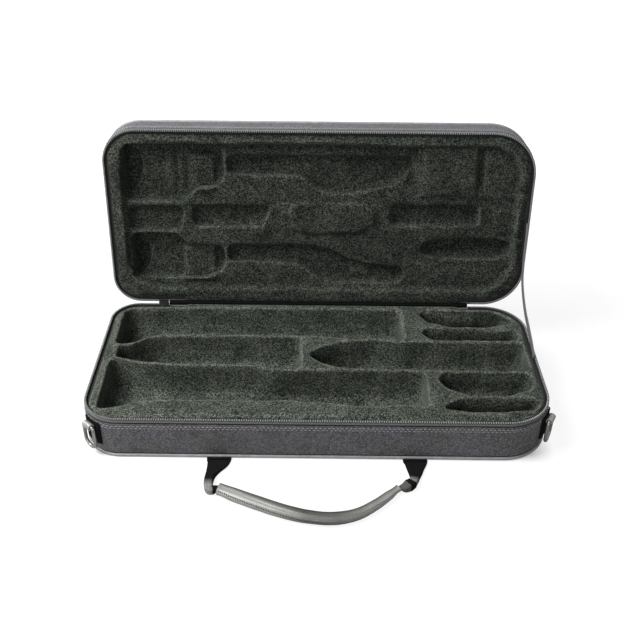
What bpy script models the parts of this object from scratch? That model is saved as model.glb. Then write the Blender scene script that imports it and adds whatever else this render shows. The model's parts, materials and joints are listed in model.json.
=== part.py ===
"""Soft-shell double clarinet case, lying open, as separate pieces.

The base lies on the floor, its hinge at the back. The lid stands open behind it and the
handle lies flat in front. The origin is the middle of the base's underside, +X to the right,
-Y to the front and +Z up. Lengths are in metres.
"""

import math

import bmesh
import bpy
from mathutils import Matrix, Vector

# Whole case
CASE_LENGTH = 0.520
CASE_DEPTH = 0.225
BASE_HEIGHT = 0.055
LID_HEIGHT = 0.043
OPEN_ANGLE = math.radians(98)
FRONT_LEFT_RADIUS = 0.042
FRONT_RIGHT_RADIUS = 0.054
REAR_RIGHT_RADIUS = 0.050
REAR_LEFT_RADIUS = 0.034
CORNER_STEPS = 6

# Clearance between touching pieces, and how far a cutter runs past what it cuts
GAP = 0.0003
OVERRUN = 0.004

# Walls, from the outer skin inwards
BAND_THICK = 0.0012
PANEL_THICK = 0.0012
SHELL_WALL = 0.0030
PIPING_RADIUS = 0.0020
PIPING_PROUD = 0.0008
PIPING_SIDES = 8

# Zip, measured from the plane where the two halves meet
ZIP_HALF_GAP = 0.0006
CHAIN_TALL = 0.0034
CHAIN_INSET = 0.0006
CHAIN_THICK = 0.0026
TAPE_TALL = 0.0017
TAPE_INSET = 0.0009
TAPE_THICK = 0.0010

# Hinge web along the back, by its distance from each end of the case
WEB_FROM_LEFT = 0.0800
WEB_FROM_RIGHT = 0.0680
WEB_THICK = 0.0010
WEB_INSET = 0.0003

# Zip slider, parked at the left end of the hinge web
SLIDER_LENGTH = 0.0120
SLIDER_TALL_BELOW = 0.0045
SLIDER_TALL_ABOVE = 0.0038
SLIDER_PLATE = 0.0008
SLIDER_BRIDGE = 0.0006
SLIDER_TO_WEB = 0.0110
POST_RADIUS = 0.0011
POST_HEAD_RADIUS = 0.0021
POST_HEAD_THICK = 0.0007
POST_DROP = 0.0030
PULL_THICK = 0.0012
PULL_WIDTH = 0.0050
PULL_LENGTH = 0.0220
PULL_CORNER = 0.0023
PIN_SIDES = 12

# Plush inserts
LIP_RADIUS = 0.0050
LIP_STEPS = 3
FLOOR_PAD = 0.0090
TROUGH_FLOOR_RADIUS = 0.0180
SOCKET_FLOOR_RADIUS = 0.0090
WALL_DRAFT = 0.0015
POCKET_FILLET = 0.0060
FILLET_STEPS = 2
FLOOR_STEPS = 2
FLOOR_REACH_SHARE = 0.9
SOCKET_STEP = 0.0080

# Lips round the base insert and the plush left between its hollows
FRONT_LIP = 0.0147
REAR_LIP = 0.0067
LEFT_LIP = 0.0112
RIGHT_LIP = 0.0072
RIDGE = 0.0040
ROW_DIVIDER = 0.0140
MIDDLE_DIVIDER = 0.0120
REAR_DIVIDER = 0.0240
MIDDLE_START = 0.0060
SOCKET_RIDGE = 0.0035

# Rows of the base insert, as shares of the depth inside its lips
FRONT_ROW_SHARE = 0.3918
MIDDLE_ROW_SHARE = 0.2784
FRONT_BELL_SWELL_SHARE = 0.0567
REAR_BELL_SWELL_SHARE = 0.1031
FRONT_BELL_STEP_SHARE = 0.0851
RIDGE_DIP_SHARE = 0.0412
REAR_RIDGE_DIP_SHARE = 0.0309
SMALL_SOCKET_SHARE = 0.1237

# Troughs of the base insert, as shares of the length inside its lips
BELL_LENGTH_SHARE = 0.1057
FRONT_TROUGH_SHARE = 0.7480
REAR_TROUGH_SHARE = 0.7073
MIDDLE_TROUGH_SHARE = 0.4533

# Lid insert
LID_RECESS = 0.0070
LID_LEFT_LIP = 0.0152
LID_RIGHT_LIP = 0.0122
LID_FRONT_LIP = 0.0112
LID_HINGE_LIP = 0.0142
LID_RECESS_CORNER = 0.0340
LID_BELL_DEPTH = 0.0190
LID_SLOT_DEPTH = 0.0290
LID_POCKET_DEPTH = 0.0160
TONGUE_RISE = 0.0035
LID_FLOOR_RADIUS = 0.0050

# Lid stay
RIBBON_WIDTH = 0.0100
RIBBON_THICK = 0.0008
RIBBON_LID_REACH = 0.112
RIBBON_BASE_REACH = 0.107

# Handle
TAB_SPACING = 0.2165
TAB_WIDTH = 0.0270
TAB_LENGTH = 0.0040
WEBBING_THICK = 0.0018
HANDLE_REACH = 0.0854
NECK_TALL = 0.0084
CORE_WIDTH = 0.0086
CORE_TALL = 0.0034
PAD_THICK = 0.0020
SLEEVE_THICK = 0.0014
HANDLE_SIDES = 12
SECTION_SHARE = 0.55
ROUTE_STEPS = 3
NOSE_ANGLES = (math.radians(75), math.radians(50), math.radians(25))

# Carrying rings: each hangs from a webbing loop on a patch that goes round a front corner
RING_WIRE = 0.0020
RING_WIDTH = 0.0210
RING_DROP = 0.0300
RING_CORNER = 0.0030
RING_BAR_HEIGHT = 0.0400
RING_STANDOFF = 0.0056
RING_TAB_SLACK = 0.0006
RING_PATCH_WIDTH = 0.0240
RING_PATCH_TALL = 0.0300
RING_PATCH_LOW = 0.0160
LEFT_RING_DIRECTION = math.radians(228)
RIGHT_RING_DIRECTION = math.radians(331)
ARC_STEPS = 4

# Lines along the base insert: shares of a named length along, and of a named swing across
FRONT_WALL_BELL_SHARES = ((0.00, 0.30), (0.05, 0.12), (0.22, 0.00), (0.50, 0.30), (1.00, 0.85), (1.60, 0.97))
FRONT_WALL_SHARES = ((0.573, 1.00), (0.70, 0.80), (0.80, 0.45), (0.92, 0.68), (1.00, 0.42))
FRONT_RIDGE_BELL_SHARES = ((0.00, 1.00), (0.22, 1.00), (0.45, 0.75), (0.80, 0.30), (1.30, 0.03))
FRONT_RIDGE_SHARES = (
    (0.55, 0.00), (0.78, 0.12), (0.88, 1.00), (1.00, 1.00), (1.20, 0.75), (1.55, 0.80), (2.00, 0.90),
)
REAR_RIDGE_BELL_SHARES = ((0.00, 1.00), (0.20, 1.00), (0.38, 0.90), (0.60, 0.50), (0.90, 0.12), (1.35, 0.00))
REAR_RIDGE_SHARES = ((0.60, 0.00), (0.72, 0.20), (0.82, 1.00), (0.90, 0.70), (1.00, 1.40), (1.12, 1.20))
PROW_SHARES = ((0.00, 0.07), (0.22, 0.26), (0.60, 0.42))

# Outlines as shares: along the pocket's box, then across it from front to back
RECTANGLE_SHARES = ((0.00, 0.00), (1.00, 0.00), (1.00, 1.00), (0.00, 1.00))
SOCKET_LENS_SHARES = (
    (0.00, 0.72), (0.06, 1.00), (0.94, 1.00), (1.00, 0.72),
    (0.93, 0.28), (0.68, 0.00), (0.30, 0.00), (0.08, 0.30),
)
SOCKET_PLAIN_SHARES = (
    (0.00, 0.60), (0.04, 1.00), (0.97, 0.90), (1.00, 0.50),
    (0.94, 0.08), (0.70, 0.00), (0.10, 0.00),
)
SOCKET_FRONT_SHARES = (
    (0.00, 0.25), (0.08, 0.60), (0.22, 0.94), (0.56, 1.00), (0.96, 0.98),
    (1.00, 0.50), (0.92, 0.20), (0.62, 0.00), (0.24, 0.00),
)

# Lid pockets: left, right, lower and upper edge as shares of the recess inside the lip,
# measured along the lid and up from the hinge, then the outline as shares of that box
LID_UPPER_BELL_BOX_SHARES = (0.004, 0.262, 0.600, 0.990)
LID_UPPER_BELL_SHARES = (
    (0.00, 0.03), (0.58, 0.00), (0.72, 0.26), (0.95, 0.30), (1.00, 0.50),
    (0.98, 0.88), (0.90, 1.00), (0.06, 1.00), (0.00, 0.90),
)
LID_LOWER_BELL_BOX_SHARES = (0.012, 0.258, 0.060, 0.390)
LID_LOWER_BELL_SHARES = (
    (0.00, 0.00), (0.76, 0.03), (0.95, 0.15), (1.00, 0.42), (0.98, 0.72),
    (0.60, 0.78), (0.48, 1.00), (0.00, 1.00),
)
LID_UPPER_SLOT_BOX_SHARES = (0.006, 0.056, 0.640, 0.975)
LID_LOWER_SLOT_BOX_SHARES = (0.012, 0.062, 0.050, 0.375)
LID_SLOT_SHARES = (
    (0.00, 0.95), (0.10, 0.12), (0.22, 0.00), (0.80, 0.25), (1.00, 0.55), (0.80, 0.86), (0.16, 1.00),
)
LID_LEFT_POCKET_BOX_SHARES = (0.010, 0.156, 0.400, 0.580)
LID_LEFT_POCKET_SHARES = ((0.00, 0.00), (0.94, 0.00), (1.00, 0.85), (0.90, 1.00), (0.00, 1.00))
LID_MIDDLE_POCKET_BOX_SHARES = (0.174, 0.380, 0.434, 0.590)
LID_MIDDLE_POCKET_SHARES = ((0.00, 0.00), (0.88, 0.00), (1.00, 1.00), (0.00, 1.00))
LID_UPPER_KEY_BOX_SHARES = (0.265, 0.735, 0.655, 0.925)
LID_UPPER_KEY_SHARES = (
    (0.00, 0.52), (0.36, 0.50), (0.42, 0.42), (0.48, 0.16), (0.54, 0.02), (0.62, 0.00),
    (0.74, 0.10), (0.90, 0.30), (1.00, 0.70), (0.98, 1.00), (0.00, 1.00),
)
LID_LOWER_KEY_BOX_SHARES = (0.260, 0.728, 0.036, 0.315)
LID_LOWER_KEY_SHARES = (
    (0.00, 0.57), (0.38, 0.54), (0.45, 0.32), (0.52, 0.08), (0.60, 0.00), (0.94, 0.00),
    (1.00, 0.18), (0.98, 0.42), (0.82, 0.50), (0.66, 0.66), (0.58, 0.88), (0.48, 1.00), (0.00, 1.00),
)
LID_RIGHT_POCKET_BOX_SHARES = (0.676, 0.906, 0.450, 0.603)
LID_RIGHT_POCKET_SHARES = ((0.00, 0.00), (1.00, 0.00), (1.00, 1.00), (0.00, 1.00))
LID_OVAL_BOX_SHARES = (0.755, 0.995, 0.220, 0.372)
LID_OVAL_SHARES = (
    (0.00, 0.45), (0.07, 0.78), (0.24, 0.98), (0.85, 1.00), (1.00, 0.80),
    (1.00, 0.20), (0.85, 0.00), (0.22, 0.00), (0.06, 0.16),
)
LID_TONGUE_BOX_SHARES = (0.418, 0.640, 0.394, 0.605)
LID_TONGUE_SHARES = (
    (0.00, 0.86), (0.06, 0.10), (0.40, 0.00), (0.80, 0.06), (1.00, 0.36), (1.00, 0.76), (0.88, 1.00),
    (0.12, 1.00),
)

LID_POCKETS = (
    ("lid_upper_bell", LID_UPPER_BELL_BOX_SHARES, LID_UPPER_BELL_SHARES, LID_BELL_DEPTH),
    ("lid_lower_bell", LID_LOWER_BELL_BOX_SHARES, LID_LOWER_BELL_SHARES, LID_BELL_DEPTH),
    ("lid_upper_slot", LID_UPPER_SLOT_BOX_SHARES, LID_SLOT_SHARES, LID_SLOT_DEPTH),
    ("lid_lower_slot", LID_LOWER_SLOT_BOX_SHARES, LID_SLOT_SHARES, LID_SLOT_DEPTH),
    ("lid_left_pocket", LID_LEFT_POCKET_BOX_SHARES, LID_LEFT_POCKET_SHARES, LID_POCKET_DEPTH),
    ("lid_middle_pocket", LID_MIDDLE_POCKET_BOX_SHARES, LID_MIDDLE_POCKET_SHARES, LID_POCKET_DEPTH),
    ("lid_upper_key_pocket", LID_UPPER_KEY_BOX_SHARES, LID_UPPER_KEY_SHARES, LID_POCKET_DEPTH),
    ("lid_lower_key_pocket", LID_LOWER_KEY_BOX_SHARES, LID_LOWER_KEY_SHARES, LID_POCKET_DEPTH),
    ("lid_right_pocket", LID_RIGHT_POCKET_BOX_SHARES, LID_RIGHT_POCKET_SHARES, LID_POCKET_DEPTH),
    ("lid_oval_pocket", LID_OVAL_BOX_SHARES, LID_OVAL_SHARES, LID_BELL_DEPTH),
)

# Stay ribbon in the plane of the right side: shares of the reach from the hinge on the base
# (towards the front) and of the reach from the hinge on the lid (upwards)
RIBBON_ROUTE_SHARES = (
    (-0.105, 0.870), (-0.075, 0.700), (-0.030, 0.520), (0.075, 0.330),
    (0.350, 0.170), (0.640, 0.098), (0.850, 0.045),
)

# Handle straps, from the case outwards on the left and back to it on the right: share of half
# the tab spacing across, share of the reach outwards, shares of the tab's width and neck's height
HANDLE_LEFT_SHARES = (
    (-1.000, 0.000, 1.00, 0.00), (-1.010, 0.050, 0.93, 0.03), (-1.042, 0.170, 0.62, 0.40),
    (-1.074, 0.370, 0.33, 1.00), (-1.072, 0.470, 0.33, 1.00), (-1.035, 0.545, 0.33, 1.00),
)
HANDLE_RIGHT_SHARES = (
    (0.882, 0.488, 0.33, 1.00), (0.943, 0.415, 0.33, 1.00), (0.977, 0.315, 0.34, 1.00),
    (0.990, 0.165, 0.56, 0.40), (0.998, 0.050, 0.86, 0.03), (1.000, 0.000, 1.00, 0.00),
)

# Grip between the straps: shares across and outwards as above, then share of its full thickness
HANDLE_GRIP_SHARES = (
    (-0.960, 0.560, 0.90), (-0.800, 0.655, 0.92), (-0.645, 0.741, 0.93), (-0.400, 0.873, 0.93),
    (-0.161, 0.973, 0.90), (0.060, 1.018, 0.86), (0.232, 1.003, 0.80), (0.391, 0.939, 0.72),
    (0.555, 0.797, 0.62), (0.690, 0.645, 0.53), (0.794, 0.517, 0.48),
)

# Worked out from the sizes above
HINGE_Y = CASE_DEPTH / 2
SHELL_INSET = BAND_THICK + GAP
INSERT_INSET = SHELL_INSET + SHELL_WALL + GAP
PIPING_TOP = GAP + 2 * PIPING_RADIUS
PANEL_INSET = 2 * PIPING_RADIUS - PIPING_PROUD + GAP
INSERT_FLOOR = PANEL_THICK + GAP + SHELL_WALL + GAP
RIM_DROP = ZIP_HALF_GAP + CHAIN_TALL + GAP + TAPE_TALL + GAP
HANDLE_AXIS_Y = -(HINGE_Y + PIPING_PROUD + GAP + TAB_LENGTH)
HANDLE_AXIS_Z = GAP + WEBBING_THICK / 2
GRIP_CENTRE_Z = GAP + SLEEVE_THICK + GAP + PAD_THICK + GAP + CORE_TALL / 2
BASE_SIDE = -1
LID_SIDE = 1
WEB_LEFT = WEB_FROM_LEFT - CASE_LENGTH / 2
WEB_RIGHT = CASE_LENGTH / 2 - WEB_FROM_RIGHT
SLIDER_X = WEB_LEFT - SLIDER_TO_WEB - SLIDER_LENGTH / 2
ROWS_DEPTH = CASE_DEPTH - 2 * INSERT_INSET - FRONT_LIP - REAR_LIP
FRONT_ROW = ROWS_DEPTH * FRONT_ROW_SHARE
MIDDLE_ROW = ROWS_DEPTH * MIDDLE_ROW_SHARE
FRONT_BELL_SWELL = ROWS_DEPTH * FRONT_BELL_SWELL_SHARE
REAR_BELL_SWELL = ROWS_DEPTH * REAR_BELL_SWELL_SHARE
FRONT_BELL_STEP = ROWS_DEPTH * FRONT_BELL_STEP_SHARE
RIDGE_DIP = ROWS_DEPTH * RIDGE_DIP_SHARE
REAR_RIDGE_DIP = ROWS_DEPTH * REAR_RIDGE_DIP_SHARE
SMALL_SOCKET = ROWS_DEPTH * SMALL_SOCKET_SHARE
ROWS_LENGTH = CASE_LENGTH - 2 * INSERT_INSET - LEFT_LIP - RIGHT_LIP
BELL_LENGTH = ROWS_LENGTH * BELL_LENGTH_SHARE
FRONT_TROUGH = ROWS_LENGTH * FRONT_TROUGH_SHARE
REAR_TROUGH = ROWS_LENGTH * REAR_TROUGH_SHARE
MIDDLE_TROUGH = ROWS_LENGTH * MIDDLE_TROUGH_SHARE


def clear_scene():
    """Remove every object that is in the file."""
    for old in list(bpy.data.objects):
        bpy.data.objects.remove(old, do_unlink=True)


def new_collection(name):
    collection = bpy.data.collections.new(name)
    bpy.context.scene.collection.children.link(collection)
    return collection


def new_material(name, colour, roughness, metallic=0.0):
    material = bpy.data.materials.new(name)
    material.use_nodes = True
    shader = material.node_tree.nodes["Principled BSDF"]
    shader.inputs["Base Color"].default_value = (*colour, 1.0)
    shader.inputs["Roughness"].default_value = roughness
    shader.inputs["Metallic"].default_value = metallic
    return material


clear_scene()
PARTS = new_collection("clarinet_case")
CUTTERS = new_collection("clarinet_case_cutters")

PLUSH = new_material("plush", (0.030, 0.033, 0.029), 1.0)
NYLON = new_material("nylon", (0.085, 0.080, 0.095), 0.75)
WELT = new_material("welt", (0.42, 0.42, 0.43), 0.6)
BOARD = new_material("board", (0.16, 0.14, 0.12), 0.9)
TEETH = new_material("teeth", (0.30, 0.30, 0.32), 0.4)
TAPE = new_material("tape", (0.03, 0.03, 0.035), 0.9)
WEBBING = new_material("webbing", (0.012, 0.012, 0.013), 0.8)
SLEEVE = new_material("sleeve", (0.10, 0.10, 0.095), 0.45)
FOAM = new_material("foam", (0.05, 0.05, 0.05), 1.0)
NICKEL = new_material("nickel", (0.55, 0.54, 0.52), 0.3, 1.0)
RIBBON = new_material("ribbon", (0.20, 0.19, 0.22), 0.7)


def empty(name, location, x_turn=0.0):
    pivot = bpy.data.objects.new(name, None)
    pivot.location = location
    pivot.rotation_euler = (x_turn, 0.0, 0.0)
    PARTS.objects.link(pivot)
    return pivot


BASE_FRAME = empty("base_frame", (0.0, HINGE_Y, BASE_HEIGHT))
LID_PIVOT = empty("lid_pivot", (0.0, HINGE_Y, BASE_HEIGHT), -OPEN_ANGLE)
HANDLE_PIVOT = empty("handle_pivot", (0.0, HANDLE_AXIS_Y, HANDLE_AXIS_Z))
SLIDER_PIVOT = empty("slider_place", (SLIDER_X, HINGE_Y, BASE_HEIGHT))
PULL_PIVOT = empty("pull_pivot", (SLIDER_X, HINGE_Y, BASE_HEIGHT - POST_DROP))


def mesh_object(name, bm, material=None, parent=None, smooth=False):
    """Finish a bmesh as an object: a part when it has a material, or else a cutter."""
    bmesh.ops.recalc_face_normals(bm, faces=bm.faces[:])
    mesh = bpy.data.meshes.new(name)
    bm.to_mesh(mesh)
    bm.free()
    piece = bpy.data.objects.new(name, mesh)
    piece.parent = parent
    if material:
        mesh.materials.append(material)
        PARTS.objects.link(piece)
    else:
        CUTTERS.objects.link(piece)
        piece.hide_render = True
        piece.display_type = "WIRE"
    if smooth:
        mesh.shade_smooth()
        mesh.set_sharp_from_angle(angle=math.radians(35))
    return piece


def boolean(piece, other, operation="DIFFERENCE"):
    cut = piece.modifiers.new(other.name, "BOOLEAN")
    cut.operation = operation
    cut.object = other
    cut.solver = "EXACT"


def fillet(points, radii, steps):
    """Round the corners of a closed outline, each as an arc of its own radius."""
    rounded = []
    count = len(points)
    for index, radius in enumerate(radii):
        corner = Vector(points[index])
        before = Vector(points[index - 1]) - corner
        after = Vector(points[(index + 1) % count]) - corner
        half_angle = before.angle(after) / 2
        reach = min(radius / math.tan(half_angle), 0.49 * before.length, 0.49 * after.length)
        true_radius = reach * math.tan(half_angle)
        bisector = (before.normalized() + after.normalized()).normalized()
        centre = corner + bisector * math.hypot(reach, true_radius)
        start = corner + before.normalized() * reach - centre
        end = corner + after.normalized() * reach - centre
        start_angle = math.atan2(start.y, start.x)
        turn = math.remainder(math.atan2(end.y, end.x) - start_angle, 2 * math.pi)
        for step in range(steps + 1):
            angle = start_angle + turn * step / steps
            rounded.append(centre + true_radius * Vector((math.cos(angle), math.sin(angle))))
    return rounded


def case_outline(inset):
    """Plan of the case at a distance inside its outer skin, measured from the hinge axis."""
    half_length = CASE_LENGTH / 2 - inset
    front = inset - CASE_DEPTH
    back = -inset
    corners = ((-half_length, front), (half_length, front), (half_length, back), (-half_length, back))
    radii = (FRONT_LEFT_RADIUS, FRONT_RIGHT_RADIUS, REAR_RIGHT_RADIUS, REAR_LEFT_RADIUS)
    return fillet(corners, [radius - inset for radius in radii], CORNER_STEPS)


def lifted(points, z):
    """Plan points brought to one height."""
    return [(point[0], point[1], z) for point in points]


def skin(bm, loops, closed=False):
    """Draw the first loop of points and extrude it to each next one, then cap or join the ends."""
    first = [bm.verts.new(point) for point in loops[0]]
    edges = [bm.edges.new((first[index - 1], first[index])) for index in range(len(first))]
    if not closed:
        bmesh.ops.edgeloop_fill(bm, edges=edges)
    verts = first
    for points in [*loops[1:], loops[0]] if closed else loops[1:]:
        drawn = bmesh.ops.extrude_edge_only(bm, edges=edges)["geom"]
        edges = [item for item in drawn if isinstance(item, bmesh.types.BMEdge)]
        fresh = {item for item in drawn if isinstance(item, bmesh.types.BMVert)}
        verts = [next(edge.other_vert(vert) for edge in vert.link_edges if edge.other_vert(vert) in fresh)
                 for vert in verts]
        for vert, point in zip(verts, points):
            vert.co = point
    if closed:
        bmesh.ops.weld_verts(bm, targetmap=dict(zip(verts, first)))
    else:
        bmesh.ops.edgeloop_fill(bm, edges=edges)


def half_object(name, levels, side, height, material, parent, closed=False, smooth=False):
    """A piece of one half, from levels of (inset, distance from the outer face)."""
    bm = bmesh.new()
    skin(bm, [lifted(case_outline(inset), side * (height - rise)) for inset, rise in levels], closed)
    return mesh_object(name, bm, material, parent, smooth=smooth)


def ring_levels(inset, thick, low, high):
    """Section of a wall that runs round the case."""
    return ((inset, low), (inset, high), (inset + thick, high), (inset + thick, low))


def block(name, low, high, material=None, parent=None):
    """A box between two corners."""
    low, high = Vector(low), Vector(high)
    bm = bmesh.new()
    bmesh.ops.create_cube(bm, size=1.0)
    bmesh.ops.scale(bm, vec=high - low, verts=bm.verts[:])
    bmesh.ops.translate(bm, vec=(low + high) / 2, verts=bm.verts[:])
    return mesh_object(name, bm, material, parent)


def extent(outline):
    """Corners of the box round an outline, its centre and its size."""
    low = Vector((min(point[0] for point in outline), min(point[1] for point in outline)))
    high = Vector((max(point[0] for point in outline), max(point[1] for point in outline)))
    return (low + high) / 2, high - low


def drawn_in(outline, inset):
    """An outline whose box is drawn in by the same distance on each side."""
    centre, size = extent(outline)
    scale = Vector((1 - 2 * inset / size.x, 1 - 2 * inset / size.y))
    return [centre + (Vector(point) - centre) * scale for point in outline]


def stacked_prism(name, outline, rings, side, parent):
    """A solid of one outline, from rings of (distance drawn in, distance from the parting plane)."""
    bm = bmesh.new()
    skin(bm, [lifted(drawn_in(outline, inset), side * drop) for inset, drop in rings])
    return mesh_object(name, bm, parent=parent)


def pocket(name, outline, depth, floor_radius, side, parent):
    """Cutter for a hollow in the plush whose walls lean in and whose floor is rounded."""
    floor_radius = min(floor_radius, depth / 2, extent(outline)[1].y / 3)
    rings = [(0.0, -OVERRUN), (WALL_DRAFT, depth - floor_radius)]
    for step in range(1, FLOOR_STEPS + 1):
        angle = math.pi / 2 * step / FLOOR_STEPS
        inset = WALL_DRAFT + floor_radius * (1 - math.cos(angle)) * FLOOR_REACH_SHARE
        rings.append((inset, depth - floor_radius * (1 - math.sin(angle))))
    rings = [(inset, ZIP_HALF_GAP + drop) for inset, drop in rings]
    return stacked_prism(name, outline, rings, side, parent)


def boxed_outline(box, shares, radius=POCKET_FILLET):
    """An outline given as shares of its box: left, right, near edge and far edge."""
    left, right, near, far = box
    points = [(left + along * (right - left), near + across * (far - near)) for along, across in shares]
    return fillet(points, [radius] * len(points), FILLET_STEPS)


def between(line, start, end):
    """The stretch of a line of (x, y) points from one x to another."""
    def height_at(x):
        for (x0, y0), (x1, y1) in zip(line, line[1:]):
            if x0 <= x <= x1:
                return y0 + (y1 - y0) * (x - x0) / (x1 - x0)
        return line[0][1] if x < line[0][0] else line[-1][1]

    middle = [point for point in line if start < point[0] < end]
    return [(start, height_at(start)), *middle, (end, height_at(end))]


def raised(line, rise):
    return [(x, y + rise) for x, y in line]


def trough_outline(front_line, back_line, start, end):
    """A hollow between two lines, from one x to another."""
    points = between(front_line, start, end) + between(back_line, start, end)[::-1]
    return fillet(points, [POCKET_FILLET] * len(points), FILLET_STEPS)


def base_hollows():
    """Outlines of the base insert's hollows by name, in the base's own plan."""
    front = INSERT_INSET - CASE_DEPTH + FRONT_LIP
    back = -INSERT_INSET - REAR_LIP
    left = INSERT_INSET - CASE_LENGTH / 2 + LEFT_LIP
    right = CASE_LENGTH / 2 - INSERT_INSET - RIGHT_LIP
    front_ridge_y = front + FRONT_ROW + RIDGE / 2
    rear_ridge_y = front_ridge_y + MIDDLE_ROW + RIDGE
    front_end = left + FRONT_TROUGH
    rear_end = left + REAR_TROUGH
    middle_end = left + MIDDLE_TROUGH

    def line(reach, y, swing, shares):
        return [(left + reach * along, y + swing * across) for along, across in shares]

    front_wall = line(BELL_LENGTH, front, FRONT_BELL_STEP, FRONT_WALL_BELL_SHARES)
    front_wall += line(FRONT_TROUGH, front, FRONT_BELL_STEP, FRONT_WALL_SHARES)
    front_ridge = line(BELL_LENGTH, front_ridge_y, FRONT_BELL_SWELL, FRONT_RIDGE_BELL_SHARES)
    front_ridge += line(MIDDLE_TROUGH, front_ridge_y, -RIDGE_DIP, FRONT_RIDGE_SHARES)
    rear_ridge = line(BELL_LENGTH, rear_ridge_y, -REAR_BELL_SWELL, REAR_RIDGE_BELL_SHARES)
    rear_ridge += line(REAR_TROUGH, rear_ridge_y, -REAR_RIDGE_DIP, REAR_RIDGE_SHARES)
    back_wall = [(left, back), (right, back)]
    ridge_front_side = raised(front_ridge, -RIDGE / 2)
    middle_front_side = raised(front_ridge, RIDGE / 2)
    middle_back_side = raised(rear_ridge, -RIDGE / 2)
    ridge_back_side = raised(rear_ridge, RIDGE / 2)

    prow = middle_end + MIDDLE_DIVIDER
    prow_y = (front_ridge[-1][1] + rear_ridge[-1][1]) / 2
    prow_front = [(prow + MIDDLE_ROW * along, prow_y - MIDDLE_ROW * across) for along, across in PROW_SHARES]
    prow_back = [(prow + MIDDLE_ROW * along, prow_y + MIDDLE_ROW * across) for along, across in PROW_SHARES]
    prow_front += between(middle_front_side, prow + MIDDLE_ROW, right)
    prow_back += between(middle_back_side, prow + MIDDLE_ROW, right)

    small_front = front + SMALL_SOCKET
    rear_start = rear_ridge[-1][1] + RIDGE / 2
    small_rear = rear_start + SMALL_SOCKET
    front_sockets = front_end + ROW_DIVIDER
    rear_sockets = rear_end + REAR_DIVIDER
    return {
        "front_trough": trough_outline(front_wall, ridge_front_side, left, front_end),
        "middle_trough": trough_outline(middle_front_side, middle_back_side, left + MIDDLE_START, middle_end),
        "rear_trough": trough_outline(ridge_back_side, back_wall, left, rear_end),
        "middle_hollow": trough_outline(prow_front, prow_back, prow, right),
        "front_small_socket": boxed_outline((front_sockets, right, front, small_front), SOCKET_FRONT_SHARES),
        "front_large_socket": boxed_outline(
            (front_sockets, right, small_front + SOCKET_RIDGE, front_ridge[-1][1] - RIDGE / 2),
            SOCKET_LENS_SHARES),
        "rear_small_socket": boxed_outline(
            (rear_sockets, right, rear_start, small_rear), SOCKET_PLAIN_SHARES),
        "rear_large_socket": boxed_outline(
            (rear_sockets, right, small_rear + SOCKET_RIDGE, back), SOCKET_LENS_SHARES),
    }


def insert_block(name, side, height, parent):
    """Plush-covered foam with a rounded lip, before its hollows are cut."""
    top = height - ZIP_HALF_GAP
    levels = [(INSERT_INSET, INSERT_FLOOR), (INSERT_INSET, top - LIP_RADIUS)]
    for step in range(1, LIP_STEPS + 1):
        angle = math.pi / 2 * step / LIP_STEPS
        inset = INSERT_INSET + LIP_RADIUS * (1 - math.cos(angle))
        levels.append((inset, top - LIP_RADIUS * (1 - math.sin(angle))))
    return half_object(name, levels, side, height, PLUSH, parent)


def build_base_insert():
    insert = insert_block("base_insert", BASE_SIDE, BASE_HEIGHT, BASE_FRAME)
    trough_depth = BASE_HEIGHT - ZIP_HALF_GAP - INSERT_FLOOR - FLOOR_PAD
    for name, outline in base_hollows().items():
        is_socket = name.endswith("socket")
        depth = trough_depth - SOCKET_STEP if is_socket else trough_depth
        radius = SOCKET_FLOOR_RADIUS if is_socket else TROUGH_FLOOR_RADIUS
        boolean(insert, pocket("cut_" + name, outline, depth, radius, BASE_SIDE, BASE_FRAME))


def build_lid_insert():
    insert = insert_block("lid_insert", LID_SIDE, LID_HEIGHT, LID_PIVOT)
    left = INSERT_INSET - CASE_LENGTH / 2 + LID_LEFT_LIP
    right = CASE_LENGTH / 2 - INSERT_INSET - LID_RIGHT_LIP
    low = INSERT_INSET + LID_HINGE_LIP
    high = CASE_DEPTH - INSERT_INSET - LID_FRONT_LIP

    def outline_of(box, shares, radius=POCKET_FILLET):
        edges = [left + share * (right - left) for share in box[:2]]
        edges += [-low - share * (high - low) for share in box[2:]]
        return boxed_outline(edges, shares, radius)

    recess = outline_of((0.0, 1.0, 0.0, 1.0), RECTANGLE_SHARES, LID_RECESS_CORNER)
    boolean(insert, pocket("cut_lid_recess", recess, LID_RECESS, LID_FLOOR_RADIUS, LID_SIDE, LID_PIVOT))
    for name, box, shares, depth in LID_POCKETS:
        outline = outline_of(box, shares)
        boolean(insert, pocket("cut_" + name, outline, depth, LID_FLOOR_RADIUS, LID_SIDE, LID_PIVOT))
    floor = ZIP_HALF_GAP + LID_RECESS
    rings = ((0.0, floor + OVERRUN), (0.0, floor - TONGUE_RISE / 2), (TONGUE_RISE / 2, floor - TONGUE_RISE))
    tongue = outline_of(LID_TONGUE_BOX_SHARES, LID_TONGUE_SHARES)
    boolean(insert, stacked_prism("add_lid_tongue", tongue, rings, LID_SIDE, LID_PIVOT), "UNION")


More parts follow.
